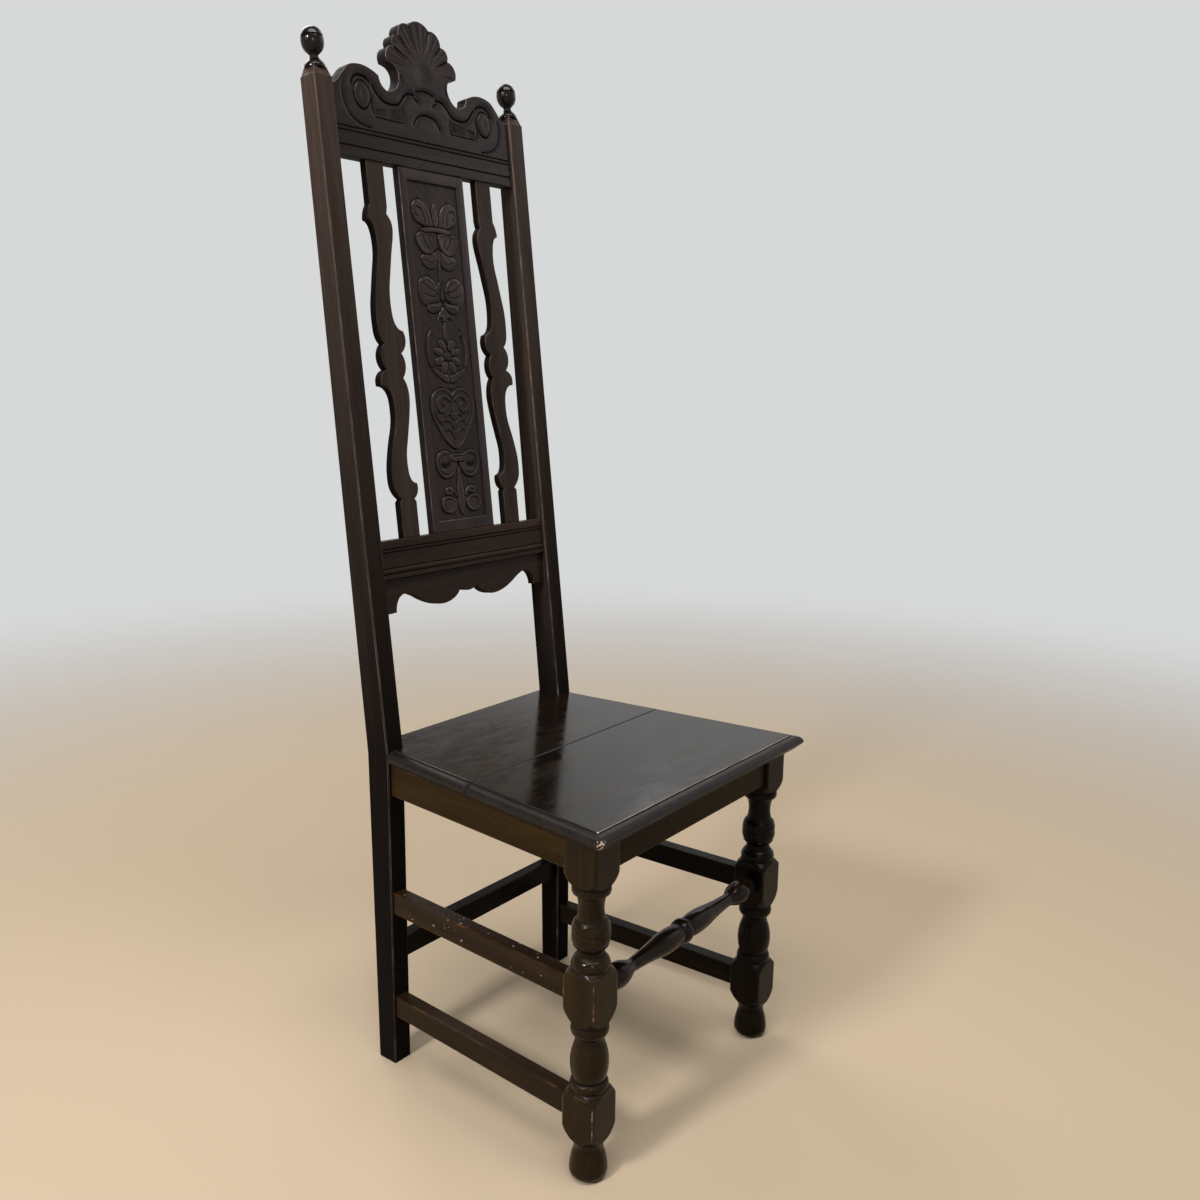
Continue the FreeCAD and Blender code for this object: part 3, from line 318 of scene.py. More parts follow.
def smooth_curve(points, step):
    """Points on a smooth curve through the given ones, after the first."""
    p = np.array(points, float)
    gaps = np.sqrt(np.linalg.norm(np.diff(p, axis=0), axis=1))
    slopes = np.diff(p, axis=0) / gaps[:, None]
    tangents = np.vstack([slopes[:1], slopes, slopes[-1:]])
    weights = np.concatenate([gaps[:1], gaps, gaps[-1:]])
    tangents = tangents[:-1] * weights[1:, None] + tangents[1:] * weights[:-1, None]
    tangents /= (weights[1:] + weights[:-1])[:, None]
    tangents[0] = 2 * slopes[0] - tangents[1]
    tangents[-1] = 2 * slopes[-1] - tangents[-2]
    out = []
    for i, gap in enumerate(gaps):
        count = max(2, round(gap * gap / step))
        t = (np.arange(1, count + 1) / count)[:, None]
        out.extend(map(tuple, (
            (2 * t**3 - 3 * t**2 + 1) * p[i] + (t**3 - 2 * t**2 + t) * gap * tangents[i]
            + (3 * t**2 - 2 * t**3) * p[i + 1] + (t**3 - t**2) * gap * tangents[i + 1]
        )))
    return out


def drawn(start, runs, step=1.0, line_step=math.inf):
    """Points along an outline made of straight lines, arcs and smooth curves."""
    points = [start]
    for run in runs:
        if len(run) == 1:
            first, last = np.array(points[-1]), np.array(run[0])
            count = max(1, round(np.linalg.norm(last - first) / line_step))
            points.extend(map(tuple, first + (last - first) * np.arange(1, count + 1)[:, None] / count))
        elif len(run) == 2:
            points.extend(arc(points[-1], run[0], run[1], step))
        else:
            points.extend(smooth_curve([points[-1]] + run, step))
    return points


def both_halves(half):
    """A closed outline from its right half, which starts and ends on the middle line."""
    return half + [(-x, y) for x, y in reversed(half[1:-1])]


def anticlockwise(loop):
    p = np.array(loop)
    q = np.roll(p, -1, axis=0)
    area = np.sum(p[:, 0] * q[:, 1] - q[:, 0] * p[:, 1])
    return p if area > 0 else p[::-1]


def to_the_left(ways):
    """Directions a quarter turn to the left of the given ones, of length 1."""
    return np.stack([-ways[:, 1], ways[:, 0]], axis=1) / np.linalg.norm(ways, axis=1)[:, None]


def inset(loop, by):
    """An anticlockwise outline moved inwards."""
    before = to_the_left(loop - np.roll(loop, 1, axis=0))
    middle = before + to_the_left(np.roll(loop, -1, axis=0) - loop)
    middle /= np.maximum(np.linalg.norm(middle, axis=1), WELD)[:, None]
    reach = np.maximum(np.sum(middle * before, axis=1), LEAST_REACH)
    return loop + middle * (by / reach)[:, None]


def inside(points, loop):
    """Which points lie inside a closed outline."""
    hit = np.zeros(len(points), bool)
    for (x0, y0), (x1, y1) in zip(loop, np.roll(loop, -1, axis=0)):
        if y0 != y1:
            crosses = (y0 > points[:, 1]) != (y1 > points[:, 1])
            hit ^= crosses & (points[:, 0] < (x1 - x0) * (points[:, 1] - y0) / (y1 - y0) + x0)
    return hit


def line_distance(points, line):
    """Distance of each point to a run of straight lines, and how far along the run the nearest place is."""
    line = np.array(line, float)
    lengths = np.linalg.norm(np.diff(line, axis=0), axis=1)
    done = np.concatenate([[0.0], np.cumsum(lengths)])
    best = np.full(len(points), math.inf)
    share = np.zeros(len(points))
    for a, b, length, before in zip(line, line[1:], lengths, done):
        t = np.clip(((points - a) @ (b - a)) / length**2, 0.0, 1.0)
        away = np.linalg.norm(points - a - t[:, None] * (b - a), axis=1)
        nearer = away < best
        best[nearer] = away[nearer]
        share[nearer] = ((before + t * length) / done[-1])[nearer]
    return best, share


def goes_across(points):
    """Whether a carved outline starts and ends on the middle line."""
    return points[0][0] == points[-1][0] == 0


def lobe_loop(points):
    """The closed outline of a carved leaf or scroll."""
    if goes_across(points):
        return np.array(both_halves([points[0]] + smooth_curve(points, STROKE_STEP)))
    return np.array(smooth_curve(points + points[:1], STROKE_STEP))


def splat_lobes():
    """All the leaves and scrolls of the splat's right half, with the petals of its rosette."""
    round_about = np.arange(PETAL_POINTS) * math.tau / PETAL_POINTS
    along = PETAL_REACH + PETAL_HALF_LENGTH * np.cos(round_about)
    across = PETAL_HALF_WIDTH * np.sin(round_about)
    petals = []
    for turn in map(math.radians, PETAL_TURNS):
        x = ROSETTE[0] + along * math.cos(turn) - across * math.sin(turn)
        rise = ROSETTE[1] + along * math.sin(turn) + across * math.cos(turn)
        petals.append((list(zip(x, rise)), *PETAL_FORM))
    return SPLAT_LOBES + petals


def stroke_points(strokes, outline):
    """Points along the middles and edges of carved strokes on both halves, so that the mesh follows them."""
    spots = []
    for line, first, last in strokes:
        runs = [line[1:]] if len(line) > 3 else [[p] for p in line[1:]]
        curve = np.array(drawn(line[0], runs, STROKE_STEP, STROKE_STEP))
        edge = to_the_left(np.gradient(curve, axis=0)) * np.linspace(first, last, len(curve))[:, None]
        spots += [curve, curve + edge, curve - edge]
    spots = np.vstack(spots)
    spots = np.vstack([spots[spots[:, 0] >= 0], spots[spots[:, 0] > MIDDLE_CLEAR] * (-1, 1)])
    return spots[inside(spots, inset(anticlockwise(outline), 2 * ARRIS))]


def ease(value, low, high):
    """From 0 at low to 1 at high, with a soft start and end."""
    t = np.clip((value - low) / (high - low), 0, 1)
    return t * t * (3 - 2 * t)


def band(value, at, width):
    """1 at a value, with a soft fall to 0 on both sides."""
    return np.exp(-(((value - at) / width) ** 2))


def wedge(away, half_width):
    """1 in the middle of a stroke, with a straight fall to 0 at its edges."""
    return np.clip(1 - away / half_width, 0, 1)


def dome(away, radius):
    return np.sqrt(np.clip(1 - (away / radius) ** 2, 0, 1))


def gouge_marks(points):
    """The uneven ground that a gouge leaves, and how the depth of its outlines varies."""
    x, rise = points.T
    ground = np.sin(0.35 * x + 0.8 * np.sin(0.11 * rise)) * np.sin(0.29 * rise)
    return 0.2 * ground, 0.7 + 0.3 * np.sin(0.13 * x + 1.0) * np.sin(0.17 * rise + 0.05 * x)


def splat_relief(points):
    """Height of the splat's face against its border, how dark each place is painted and how rubbed it is.
    The darkness is painted shade along outlines, ridges, cuts, dishes and the field's edges, over an even
    darkening of ground and border; the rubbing of the lobe rims and the field's lower edge is also a painted
    highlight.
    """
    x, rise = np.abs(points[:, 0]), points[:, 1]
    mirrored = np.stack([x, rise], axis=1)
    side, top, bottom = SPLAT_HALF - FIELD_SIDE, CREST_BASE - FIELD_END, PANEL_BASE + FIELD_END
    edge = np.minimum.reduce([side - x, top - rise, rise - bottom])
    sunk = ease(edge, 0.0, FIELD_SLOPE)
    height, uneven = gouge_marks(points)
    dark, rubbed = np.full(len(points), GROUND_DARKENING), np.zeros(len(points))
    for outline, tall, dish in splat_lobes():
        loop = lobe_loop(outline)
        away, _ = line_distance(mirrored, np.vstack([loop, loop[:1]]))
        within = inside(mirrored, loop)
        foot = wedge(away, LOBE_FOOT)
        climb = np.clip(away / LOBE_RIM, 0, 1)
        body = tall * np.sqrt(climb * (2 - climb)) - dish * ease(away, LOBE_RIM, LOBE_RIM + LOBE_DISH)
        # Painted shade in each dish and at the foot of each outline.
        inner = DISH_SHADE * max(dish, 0) * band(away, DISH_LINE, DISH_LINE_WIDTH)
        height = np.where(within, body, height) - LOBE_CUT * uneven * foot
        dark = np.where(within, np.maximum(ease(foot, *RIM_SHADE), inner),
                        np.maximum(dark, uneven * ease(foot, *FOOT_SHADE)))
        # Rubbed rims, which also carry a painted highlight.
        rubbed = np.where(within, band(away, LOBE_RIM, RIM_HIGHLIGHT_WIDTH), rubbed)
    # Painted shade at the feet of ridges and beads.
    for line, first, last, tall in SPLAT_RIDGES:
        away, share = line_distance(mirrored, [line[0]] + smooth_curve(line, CUT_STEP))
        width = first + (last - first) * share
        height += tall * dome(away, width)
        dark = np.maximum(dark, RIDGE_FOOT_SHADE * band(away, width, LOBE_FOOT))
    for bead_x, bead_rise, radius in SPLAT_BEADS:
        away = np.hypot(x - bead_x, rise - bead_rise)
        height += BEAD_BULGE * radius * dome(away, radius)
        dark = np.maximum(dark, RIDGE_FOOT_SHADE * band(away, radius, LOBE_FOOT))
    for line, half_width, depth in SPLAT_CUTS:
        cut = wedge(line_distance(mirrored, [line[0]] + smooth_curve(line, CUT_STEP))[0], half_width)
        height -= depth * cut
        dark = np.maximum(dark, ease(cut, *CUT_SHADE))
    # Painted highlight on the field's lower edge, painted shadow along its other edges.
    lit_ledge = band(rise, bottom, LIT_LEDGE_WIDTH) * (x < side)
    foot = FIELD_EDGE_SHADOW * band(edge, FIELD_SLOPE, FIELD_FOOT_WIDTH) * (1 - lit_ledge)
    height = sunk * (np.minimum(height, FIELD_SINK) - FIELD_SINK)
    dark = sunk * dark + (1 - sunk) * BORDER_DARKENING + foot
    return height, np.clip(dark, 0, 1), np.maximum(RIM_RUB_AND_HIGHLIGHT * rubbed * sunk, lit_ledge)


def shell_flutes(x, rise):
    """The fluted shell of the crest: how far each place belongs to it, its flutes and its hollow hub."""
    turn, reach = np.arctan2(x, rise - SHELL_HUB), np.hypot(x, rise - SHELL_HUB)
    part = ease(reach, *SHELL_REACH) * ease(rise - SHELL_HUB, *SHELL_RISE)
    edges = [math.atan2(fx, fy - SHELL_HUB) for fx, fy in SHELL_FLUTES]
    edges.insert(0, -edges[0])
    flutes = np.zeros(len(x))
    for low, high in zip(edges, edges[1:]):
        t = np.abs(turn - (low + high) / 2) / ((high - low) / 2)
        from_edge = (1 - t) * (high - low) / 2 * reach
        flute = FLUTE_BODY - FLUTE_FALL * t**2 + FLUTE_RIM * band(from_edge, *FLUTE_RIM_AT)
        flute = flute * ease(from_edge, *FLUTE_EDGE) + FLUTE_RIPPLE * np.cos(3 * math.pi * t)
        flutes = np.where(t <= 1, flute, flutes)
    return part, flutes, 1 - ease(reach, 0, SHELL_HUB_SIZE)


def tablet_cut(x, rise):
    """The sunk tablets of the crest, reeded at their inner ends."""
    left, right, low, high = TABLET
    lean = np.clip((x - left) / (right - left), 0, 1)
    edge = np.minimum.reduce([x - left, right - x, rise - low, high - TABLET_LEAN * lean - rise])
    reeds = ease(lean, *REED_END) * np.cos((x - left) * math.tau / REED_PITCH)
    scoop = TABLET_SINK + TABLET_SCOOP * np.clip((high - rise) / (high - low), 0, 1)
    scoop += REED_DEPTH * reeds - TABLET_RIDGE * band(lean, *TABLET_RIDGE_AT)
    return ease(edge, *TABLET_EDGE) * scoop


def crest_relief(points):
    """Height of the crest's face, with its cut lines, volutes, tablets and shell, how much painted shade
    lies in its cuts and hollows, and how rubbed each place is."""
    x, rise = np.abs(points[:, 0]), points[:, 1] - CREST_BASE
    mirrored = np.stack([x, rise], axis=1)
    cut, line_cut = np.zeros(len(points)), np.zeros(len(points))
    for line, half_width, depth in CREST_CUTS:
        curve = [line[0]] + smooth_curve(line, CUT_STEP) if len(line) > 2 else line
        away, _ = line_distance(mirrored, curve)
        stroke = wedge(away, half_width)
        flank = CUT_FLANK * (1 - ease(away, 0, CUT_FLANK_REACH * half_width)) * (rise > CARVED_FROM)
        line_cut = np.maximum(line_cut, stroke)
        cut = np.maximum(cut, depth * np.maximum(stroke, flank))
    disc = np.hypot((x - VOLUTE[0]) / VOLUTE_DISC[0], (rise - VOLUTE[1]) / VOLUTE_DISC[1])
    round_cut = wedge(np.abs(disc - 1) * VOLUTE_DISC[0], VOLUTE_LINE)
    cut = np.maximum(cut, VOLUTE_DEPTH * round_cut)
    raised = VOLUTE_BULGE * dome(disc, 1.0) - VOLUTE_EYE_DEPTH * band(disc, 0.0, VOLUTE_EYE)
    cut = np.maximum(cut, tablet_cut(x, rise) * (disc > VOLUTE_CLEAR))
    part, flutes, hollow = shell_flutes(x, rise)
    height = raised - cut + part * (SHELL_LIFT * flutes - SHELL_SINK) - SHELL_HUB_DEPTH * hollow
    # Painted shade in the cut lines, the volute's ring, the deeper cuts and the shell's hollows.
    shaded = ease(line_cut, *LINE_SHADE), ease(round_cut, *ROUND_SHADE), CUT_DEPTH_SHADE * cut
    carved_shade = np.maximum.reduce(shaded) + part * (1 - ease(flutes, *FLUTE_SHADE))
    rubbed = np.clip(raised, 0, 1) * ease(disc, *VOLUTE_RUBBED)
    rubbed += part * ease(flutes, *FLUTE_RUBBED)
    return height, np.clip(carved_shade, 0, 1), CREST_RUB * np.clip(rubbed, 0, 1)


def add_object(name, data):
    made = bpy.data.objects.new(name, data)
    bpy.context.scene.collection.objects.link(made)
    return made


def make_piece(name, mesh, material, nodes):
    """Adds a piece that rides on the chair and stands for some of its solids."""
    mesh.materials.append(material)
    piece = add_object(name, mesh)
    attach(piece, "root")
    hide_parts(*nodes)
    return piece


def even_faces(piece):
    """Keeps the shading of wide faces flat up to their rounded edges."""
    even = piece.modifiers.new("even_faces", "WEIGHTED_NORMAL")
    even.keep_sharp = True
    return piece


def ring_faces(rings, count, inwards=False):
    """Faces between rings of points, one after the other."""
    faces = []
    for near in range(0, (rings - 1) * count, count):
        far = near + count
        for i in range(count):
            j = (i + 1) % count
            left, right = (near + j, far + i) if not inwards else (far + i, near + j)
            faces.append((near + i, left, far + j, right))
    return faces


def end_faces(rings, count, inwards=False):
    """Faces over the first ring and over the last."""
    ends = [tuple(reversed(range(count))), tuple(range((rings - 1) * count, rings * count))]
    return [end[::-1] for end in ends] if inwards else ends


def new_mesh(name, points, faces, sharp):
    """A smooth mesh whose edges are sharp from an angle on, in degrees."""
    mesh = bpy.data.meshes.new(name)
    mesh.from_pydata([tuple(p) for p in points], [], faces)
    mesh.shade_smooth()
    mesh.set_sharp_from_angle(angle=math.radians(sharp))
    return mesh


def store(mesh, name, values, kind="FLOAT"):
    layer = mesh.attributes.new(name, kind, "POINT")
    key = "vector" if kind == "FLOAT_VECTOR" else "value"
    layer.data.foreach_set(key, np.asarray(values, np.float32).ravel())


def store_surface(mesh, along, wear=None, shade_and_dirt=None):
    """Keeps each point's wear, its darkening (painted shade, and the dark seat joints) and its place in the
    timber. Each piece has a place of its own.
    """
    if wear is not None:
        store(mesh, "wear", wear)
        store(mesh, "shade_and_dirt", shade_and_dirt)
    along = Vector(along).normalized()
    side = along.orthogonal().normalized()
    axes = np.array([along, side, along.cross(side)])
    points = np.empty(len(mesh.vertices) * 3, np.float32)
    mesh.vertices.foreach_get("co", points)
    start = next(pieces_made) * np.array(GRAIN_SHIFT)
    store(mesh, "grain", points.reshape(-1, 3) @ axes.T + start, "FLOAT_VECTOR")


def clear_of(points, marks, gap):
    """Those of the points that lie further than a gap from all marks."""
    tree = KDTree(len(marks))
    for index, (x, y) in enumerate(marks):
        tree.insert((x, y, 0.0), index)
    tree.balance()
    return points[[tree.find((x, y, 0.0))[2] > gap for x, y in points]]


def carved_face(loop, face, total, relief, spacing, area, strokes):
    """The carved face of a board, inside the last ring of the board's points: the points that it adds to the
    total so far, how rubbed they are and how much painted shade they carry, and its faces."""
    rim = inset(loop, ARRIS)
    low, high = area or (rim.min(0), rim.max(0))
    across, up = (np.arange(math.ceil(a), b + GRID_SLACK, spacing) for a, b in zip(low, high))
    grid = np.stack(np.meshgrid(across, up), axis=-1).reshape(-1, 2)
    grid = grid[inside(grid, inset(loop, ARRIS + GRID_MARGIN * spacing))]
    marks = stroke_points(strokes, loop)
    flat = np.vstack([rim, marks, clear_of(grid, marks, GRID_GAP * spacing)])
    order = list(range(len(loop)))
    edges = list(zip(order, order[1:] + order[:1]))
    found, _, cells, origin, _, _ = delaunay_2d_cdt([Vector(p) for p in flat], edges, [order], 1, WELD)
    spots = np.array([tuple(p) for p in found])
    first = total - len(loop)
    number = {new: first + index for new, old in enumerate(origin) for index in old if index < len(loop)}
    extra = [i for i in range(len(spots)) if i not in number]
    number.update((i, total + offset) for offset, i in enumerate(extra))
    height, carved_shade, rubbed = relief(spots)
    height *= ease(line_distance(spots, np.vstack([rim, rim[:1]]))[0], 0.0, EDGE_CLEAR)
    carved = on_back(spots[:, 0], spots[:, 1], face - height)
    faces = [tuple(number[i] for i in cell) for cell in cells]
    return carved[extra], rubbed[extra], carved_shade[extra], faces


def sawn_board(name, loop, face, thick, along, material, nodes, carving=None):
    """A board sawn to an outline, with eased edges and, where carving is given, a carved face."""
    loop = anticlockwise(loop)
    count = len(loop)
    steps = [(ARRIS, thick, 0.0), (ARRIS / 2, thick, REAR_RUB), (0.0, thick - ARRIS / 2, 0.0)]
    for turn in np.linspace(0, math.pi / 2, ARRIS_RINGS):
        steps.append((ARRIS * (1 - math.cos(turn)), ARRIS * (1 - math.sin(turn)), math.sin(2 * turn)))
    rings = [on_back(*inset(loop, by).T, face + depth) for by, depth, _ in steps]
    points = np.vstack(rings)
    wear = np.repeat([rub for _, _, rub in steps], count)
    shade_and_dirt = np.zeros(len(points))
    # Painted shade on the sawn side walls.
    shade_and_dirt[2 * count:4 * count] = SAWN_SIDE_SHADE
    sides, ends = ring_faces(len(rings), count), end_faces(len(rings), count)
    if carving:
        added, rubbed, carved_shade, cells = carved_face(loop, face, len(points), *carving)
        points = np.vstack([points, added])
        wear = np.concatenate([wear, rubbed])
        shade_and_dirt = np.concatenate([shade_and_dirt, carved_shade])
        ends[1:] = cells
    mesh = new_mesh(name, points, sides + ends, BOARD_SHARP)
    mesh.polygons[len(sides)].use_smooth = False
    store_surface(mesh, along, wear, shade_and_dirt)
    piece = make_piece(name, mesh, material, nodes)
    return piece if carving else even_faces(piece)


def round_shape(radius, turns):
    return np.full(len(turns), max(radius, LEAST_RADIUS))


def square_shape(radius, turns):
    """Where the turning runs out of the square stock, the flats and worn corners of the stock are left."""
    flats = LEG_HALF / np.maximum(np.abs(np.cos(turns)), np.abs(np.sin(turns)))
    corner = LEG_HALF * math.sqrt(2) - LEG_EDGE
    rounded = corner - (corner + LEG_EDGE - flats) ** 2 / (4 * LEG_EDGE)
    return np.minimum(radius, np.where(flats > corner - LEG_EDGE, rounded, flats))


def lathe_points(profile, centre, axis, turns, shape):
    """Points of a turned form. Shape gives the radius at each turn from the profile's own radius."""
    axis = Vector(axis).normalized()
    side = Vector(ACROSS) if abs(axis.x) < 0.5 else Vector(DEEP)
    side = (side - axis * side.dot(axis)).normalized()
    ways = np.outer(np.cos(turns), np.array(side)) + np.outer(np.sin(turns), np.array(axis.cross(side)))
    return np.vstack([
        np.array(centre) + MM * (along * np.array(axis) + shape(radius, turns)[:, None] * ways)
        for radius, along in profile
    ])


def ring_wear_and_shade(radii, along):
    """How far each place on a turned form stands out from its neighbours, and how far it lies back."""
    near = np.abs(along[:, None] - along[None, :]) < RING_NEAR
    mean = (near * radii[None, :]).sum(1) / near.sum(1)
    return np.clip((radii - mean) / RING_PROUD, 0, 1), np.clip((mean - radii) / RING_SUNK, 0, 1)


def corner_wear(radii, along, turns):
    """How rubbed the corners of the square stock are, less so on the top block."""
    rubbed = ease(radii, *CORNER_RADII) * (1 - TOP_BLOCK_KEPT * ease(along, *LEG_TOP_BLOCK))
    rubbed *= 0.65 + 0.35 * np.sin(0.47 * along) * np.sin(0.21 * along + 0.8)
    lean = np.abs(np.abs(np.cos(turns)) - np.abs(np.sin(turns)))
    return rubbed[:, None] * (1 - ease(lean, *CORNER_LEANS))


def turned_piece(name, profile, centre, axis, material, nodes, columns=64, shape=round_shape, shaded_ends=None):
    """A turned form, with worn rings, painted shade in its hollows and, where given, painted shade towards
    its ends.
    """
    turns = np.arange(columns) * math.tau / columns
    faces = ring_faces(len(profile), columns) + end_faces(len(profile), columns)
    mesh = new_mesh(name, lathe_points(profile, centre, axis, turns, shape), faces, TURNED_SHARP)
    radii, along = np.array(profile).T
    # Proud rings are rubbed; sunk ones get painted shade.
    proud, sunk = ring_wear_and_shade(radii, along)
    wear = np.repeat(RING_RUB * proud, columns).reshape(len(profile), columns)
    # Painted shade towards the stretcher's ends, by the legs.
    if shaded_ends:
        sunk = np.maximum(sunk, ease(np.abs(along), *shaded_ends))
    if shape is square_shape:
        wear = np.maximum(wear, corner_wear(radii, along, turns))
    store_surface(mesh, axis, wear, np.repeat(sunk, columns))
    return make_piece(name, mesh, material, nodes)


def dressed(node, along, material, edge=ARRIS, painted_shade=0.0):
    """A piece like a CAD solid, with its outer edges rounded over and marked for wear, and, where given,
    painted shade that grows towards its low parts."""
    work = bmesh.new()
    work.from_mesh(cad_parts[node].data)
    bmesh.ops.remove_doubles(work, verts=work.verts, dist=WELD)
    bmesh.ops.dissolve_limit(work, angle_limit=FLAT_ANGLE, verts=work.verts, edges=work.edges)
    sharp = [e for e in work.edges if e.is_manifold and e.is_convex and e.calc_face_angle() > EDGE_ANGLE]
    made = bmesh.ops.bevel(
        work, geom=sharp, offset=edge * MM, offset_type="OFFSET", segments=2, profile=0.5, affect="EDGES",
        clamp_overlap=True,
    )
    rounded = set(made["faces"])
    wear = work.loops.layers.float.new("wear")
    shade_and_dirt = work.loops.layers.float.new("shade_and_dirt")
    for face in work.faces:
        for loop in face.loops:
            alone = face in rounded and all(f in rounded for f in loop.vert.link_faces)
            loop[wear] = 1.0 if alone else FACE_RUB
            # Painted shade, stronger towards the bottom of the piece.
            loop[shade_and_dirt] = painted_shade * (1 - ease(loop.vert.co.z, *PAINTED_SHADE_LEVELS))
    mesh = bpy.data.meshes.new(node + "_dressed")
    work.to_mesh(mesh)
    work.free()
    mesh.shade_smooth()
    mesh.set_sharp_from_angle(angle=math.radians(BOARD_SHARP))
    store_surface(mesh, along)
    return even_faces(make_piece(node + "_dressed", mesh, material, [node]))


def moved_edges(corners, moves):
    """Corners of an anticlockwise outline whose straight edges each move inwards by their own amount."""
    normals = to_the_left(np.roll(corners, -1, axis=0) - corners)
    beside = np.stack([np.roll(normals, 1, axis=0), normals], axis=1)
    return corners + np.linalg.solve(beside, np.stack([np.roll(moves, 1), moves], axis=1)[..., None])[..., 0]


def seat_section(thick):
    """Rings of a seat board, top to bottom: (inset of moulded edges, of plain ones, height, rub, darkening).
    """
    round_off = arc((MOULD_WIDTH, -MOULD_QUIRK), (MOULD_ROUND_IN, -MOULD_ROUND_DOWN), (0, -MOULD_DROP),
                    MOULD_STEP)
    return [
        (MOULD_WIDTH + SEAT_EASE, JOINT_EASE, 0.0, 0, 0),
        (MOULD_WIDTH + 0.3 * SEAT_EASE, 0.6 * JOINT_EASE, -0.3 * SEAT_EASE, 1.0, 0),
        (MOULD_WIDTH, 0.0, -SEAT_EASE, 0.2, 0.3),
        (MOULD_WIDTH, 0.0, -MOULD_QUIRK, 0.0, 1.0),
        *((across, 0.0, drop, 0.0, 0.2) for across, drop in round_off),
        (0, 0, -MOULD_DROP - MOULD_EASE, 0.15, 0),
        (0, 0, -MOULD_DROP - MOULD_LIP, 0.15, 0),
        (MOULD_UNDERCUT, 0.0, -thick, 0.0, 0.6),
    ]


def seat_board(node, corners, rubs, material, edge_material):
    """A board of the seat: a flat top, a moulding on each edge that is rubbed at all, and plain joints."""
    corners, rubs = np.array(corners), np.array(rubs)
    section = seat_section((SEAT_HIGH.z - SEAT_LOW.z) / MM)
    lengths = np.linalg.norm(np.roll(corners, -1, axis=0) - corners, axis=1)
    steps = [max(1, round(length / SEAT_STEP)) for length in lengths]
    rubbing = np.repeat(rubs, steps)
    plain = rubbing == 0
    plain |= np.roll(plain, 1)
    points, wear, shade_and_dirt = [], [], []
    for moulded, straight, drop, rub, darkening in section:
        ring = moved_edges(corners, np.where(rubs > 0, moulded, straight))
        for start, end, count in zip(ring, np.roll(ring, -1, axis=0), steps):
            spots = start + (end - start) * (np.arange(count) / count)[:, None]
            points.append(np.column_stack([MM * spots, np.full(count, SEAT_HIGH.z + MM * drop)]))
        wear.append(np.where(plain, JOINT_RUB, rubbing) * rub)
        # Joints are dark below the top; the moulding is darkened in its quirk, round and under its lip.
        shade_and_dirt.append(np.where(plain, float(drop < 0), darkening))
    size = len(plain)
    faces = end_faces(len(section), size, True) + ring_faces(len(section), size, True)
    mesh = new_mesh(node + "_moulded", np.vstack(points), faces, SEAT_SHARP)
    store_surface(mesh, ACROSS, np.concatenate(wear), np.concatenate(shade_and_dirt))
    piece = make_piece(node + "_moulded", mesh, material, [node])
    mesh.materials.append(edge_material)
    for face in mesh.polygons[2 + 2 * size:]:
        face.material_index = 1
    return even_faces(piece)


def build_seat(material, edge_material):
    """The two boards of the seat. The rear one is notched around the posts."""
    wide, joint = SEAT_HIGH.x / MM, SEAT_HIGH.y / MM
    front = SEAT_LOW.y / MM
    narrow, rear = (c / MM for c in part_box("seat_board_rear")[1].xy)
    post_low, post_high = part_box("back_post_left")
    notch, inner = post_low.y / MM - NOTCH_CLEAR, -post_high.x / MM - NOTCH_CLEAR
    last = wide + (narrow - wide) * (notch - front) / (joint - front)
    left, right = SEAT_RUBS
    seat_board("seat_board_front", [(-wide, front), (wide, front), (narrow, joint), (-narrow, joint)],
               [1, right, 0, left], material, edge_material)
    seat_board("seat_board_rear", [
        (-narrow, joint), (narrow, joint), (last, notch), (inner, notch), (inner, rear), (-inner, rear),
        (-inner, notch), (-last, notch),
    ], [0, right, 0, 0, 0, 0, 0, left], material, edge_material)


def moulded_rail(node, material):
    """The lower rail of the back: a bead, two cut lines and eased edges along its face."""
    face, deep, rear = RAIL_FACE, RAIL_FACE + LINE_DEPTH, RAIL_FACE + RAIL_THICK
    crown = (face - BEAD_PROUD, (BEAD_LOW + BEAD_HIGH) / 2)
    bead = arc((deep, BEAD_LOW), crown, (deep, BEAD_HIGH), BEAD_STEP)
    # Rings of the face, bottom to top: (set back, rise, wear, painted shade in the quirks and cut lines).
    section = [
        (face + RAIL_LOW_EASE, RAIL_BASE, 0.0, 0.4),
        (face, RAIL_BASE + RAIL_LOW_EASE, 0.3, 0),
        (face, BEAD_LOW - QUIRK_WIDTH, 0.2, 0),
        (deep, BEAD_LOW, 0.0, 1.0),
        *((set_back, rise, 0.2, 0.0) for set_back, rise in bead[:-1]),
        (deep, BEAD_HIGH, 0.0, 1.0),
        (face, BEAD_HIGH + QUIRK_WIDTH, 0.3, 0),
    ]
    for rise in RAIL_LINES:
        section.append((face, rise - LINE_HALF, 0.2, 0.1))
        section.append((deep, rise, 0.0, 1.0))
        section.append((face, rise + LINE_HALF, 0.3, 0.1))
    section += [
        (face, RAIL_TOP - RAIL_HIGH_EASE, 0.2, 0),
        (face + RAIL_ROUND, RAIL_TOP - RAIL_ROUND, 1.0, 0),
        (face + RAIL_HIGH_EASE, RAIL_TOP, 0.2, 0),
        (rear, RAIL_TOP, 0.3, 0),
        (rear, RAIL_BASE, 0.3, 0),
    ]
    set_back, rise, wear, shade_and_dirt = np.array(section).T
    size = len(section)
    points = np.vstack([on_back(x, rise, set_back) for x in (-RAIL_HALF, RAIL_HALF)])
    faces = ring_faces(2, size, True) + end_faces(2, size, True)
    mesh = new_mesh(node + "_moulded", points, faces, RAIL_SHARP)
    store_surface(mesh, ACROSS, np.tile(wear, 2), np.tile(shade_and_dirt, 2))
    return make_piece(node + "_moulded", mesh, material, [node])


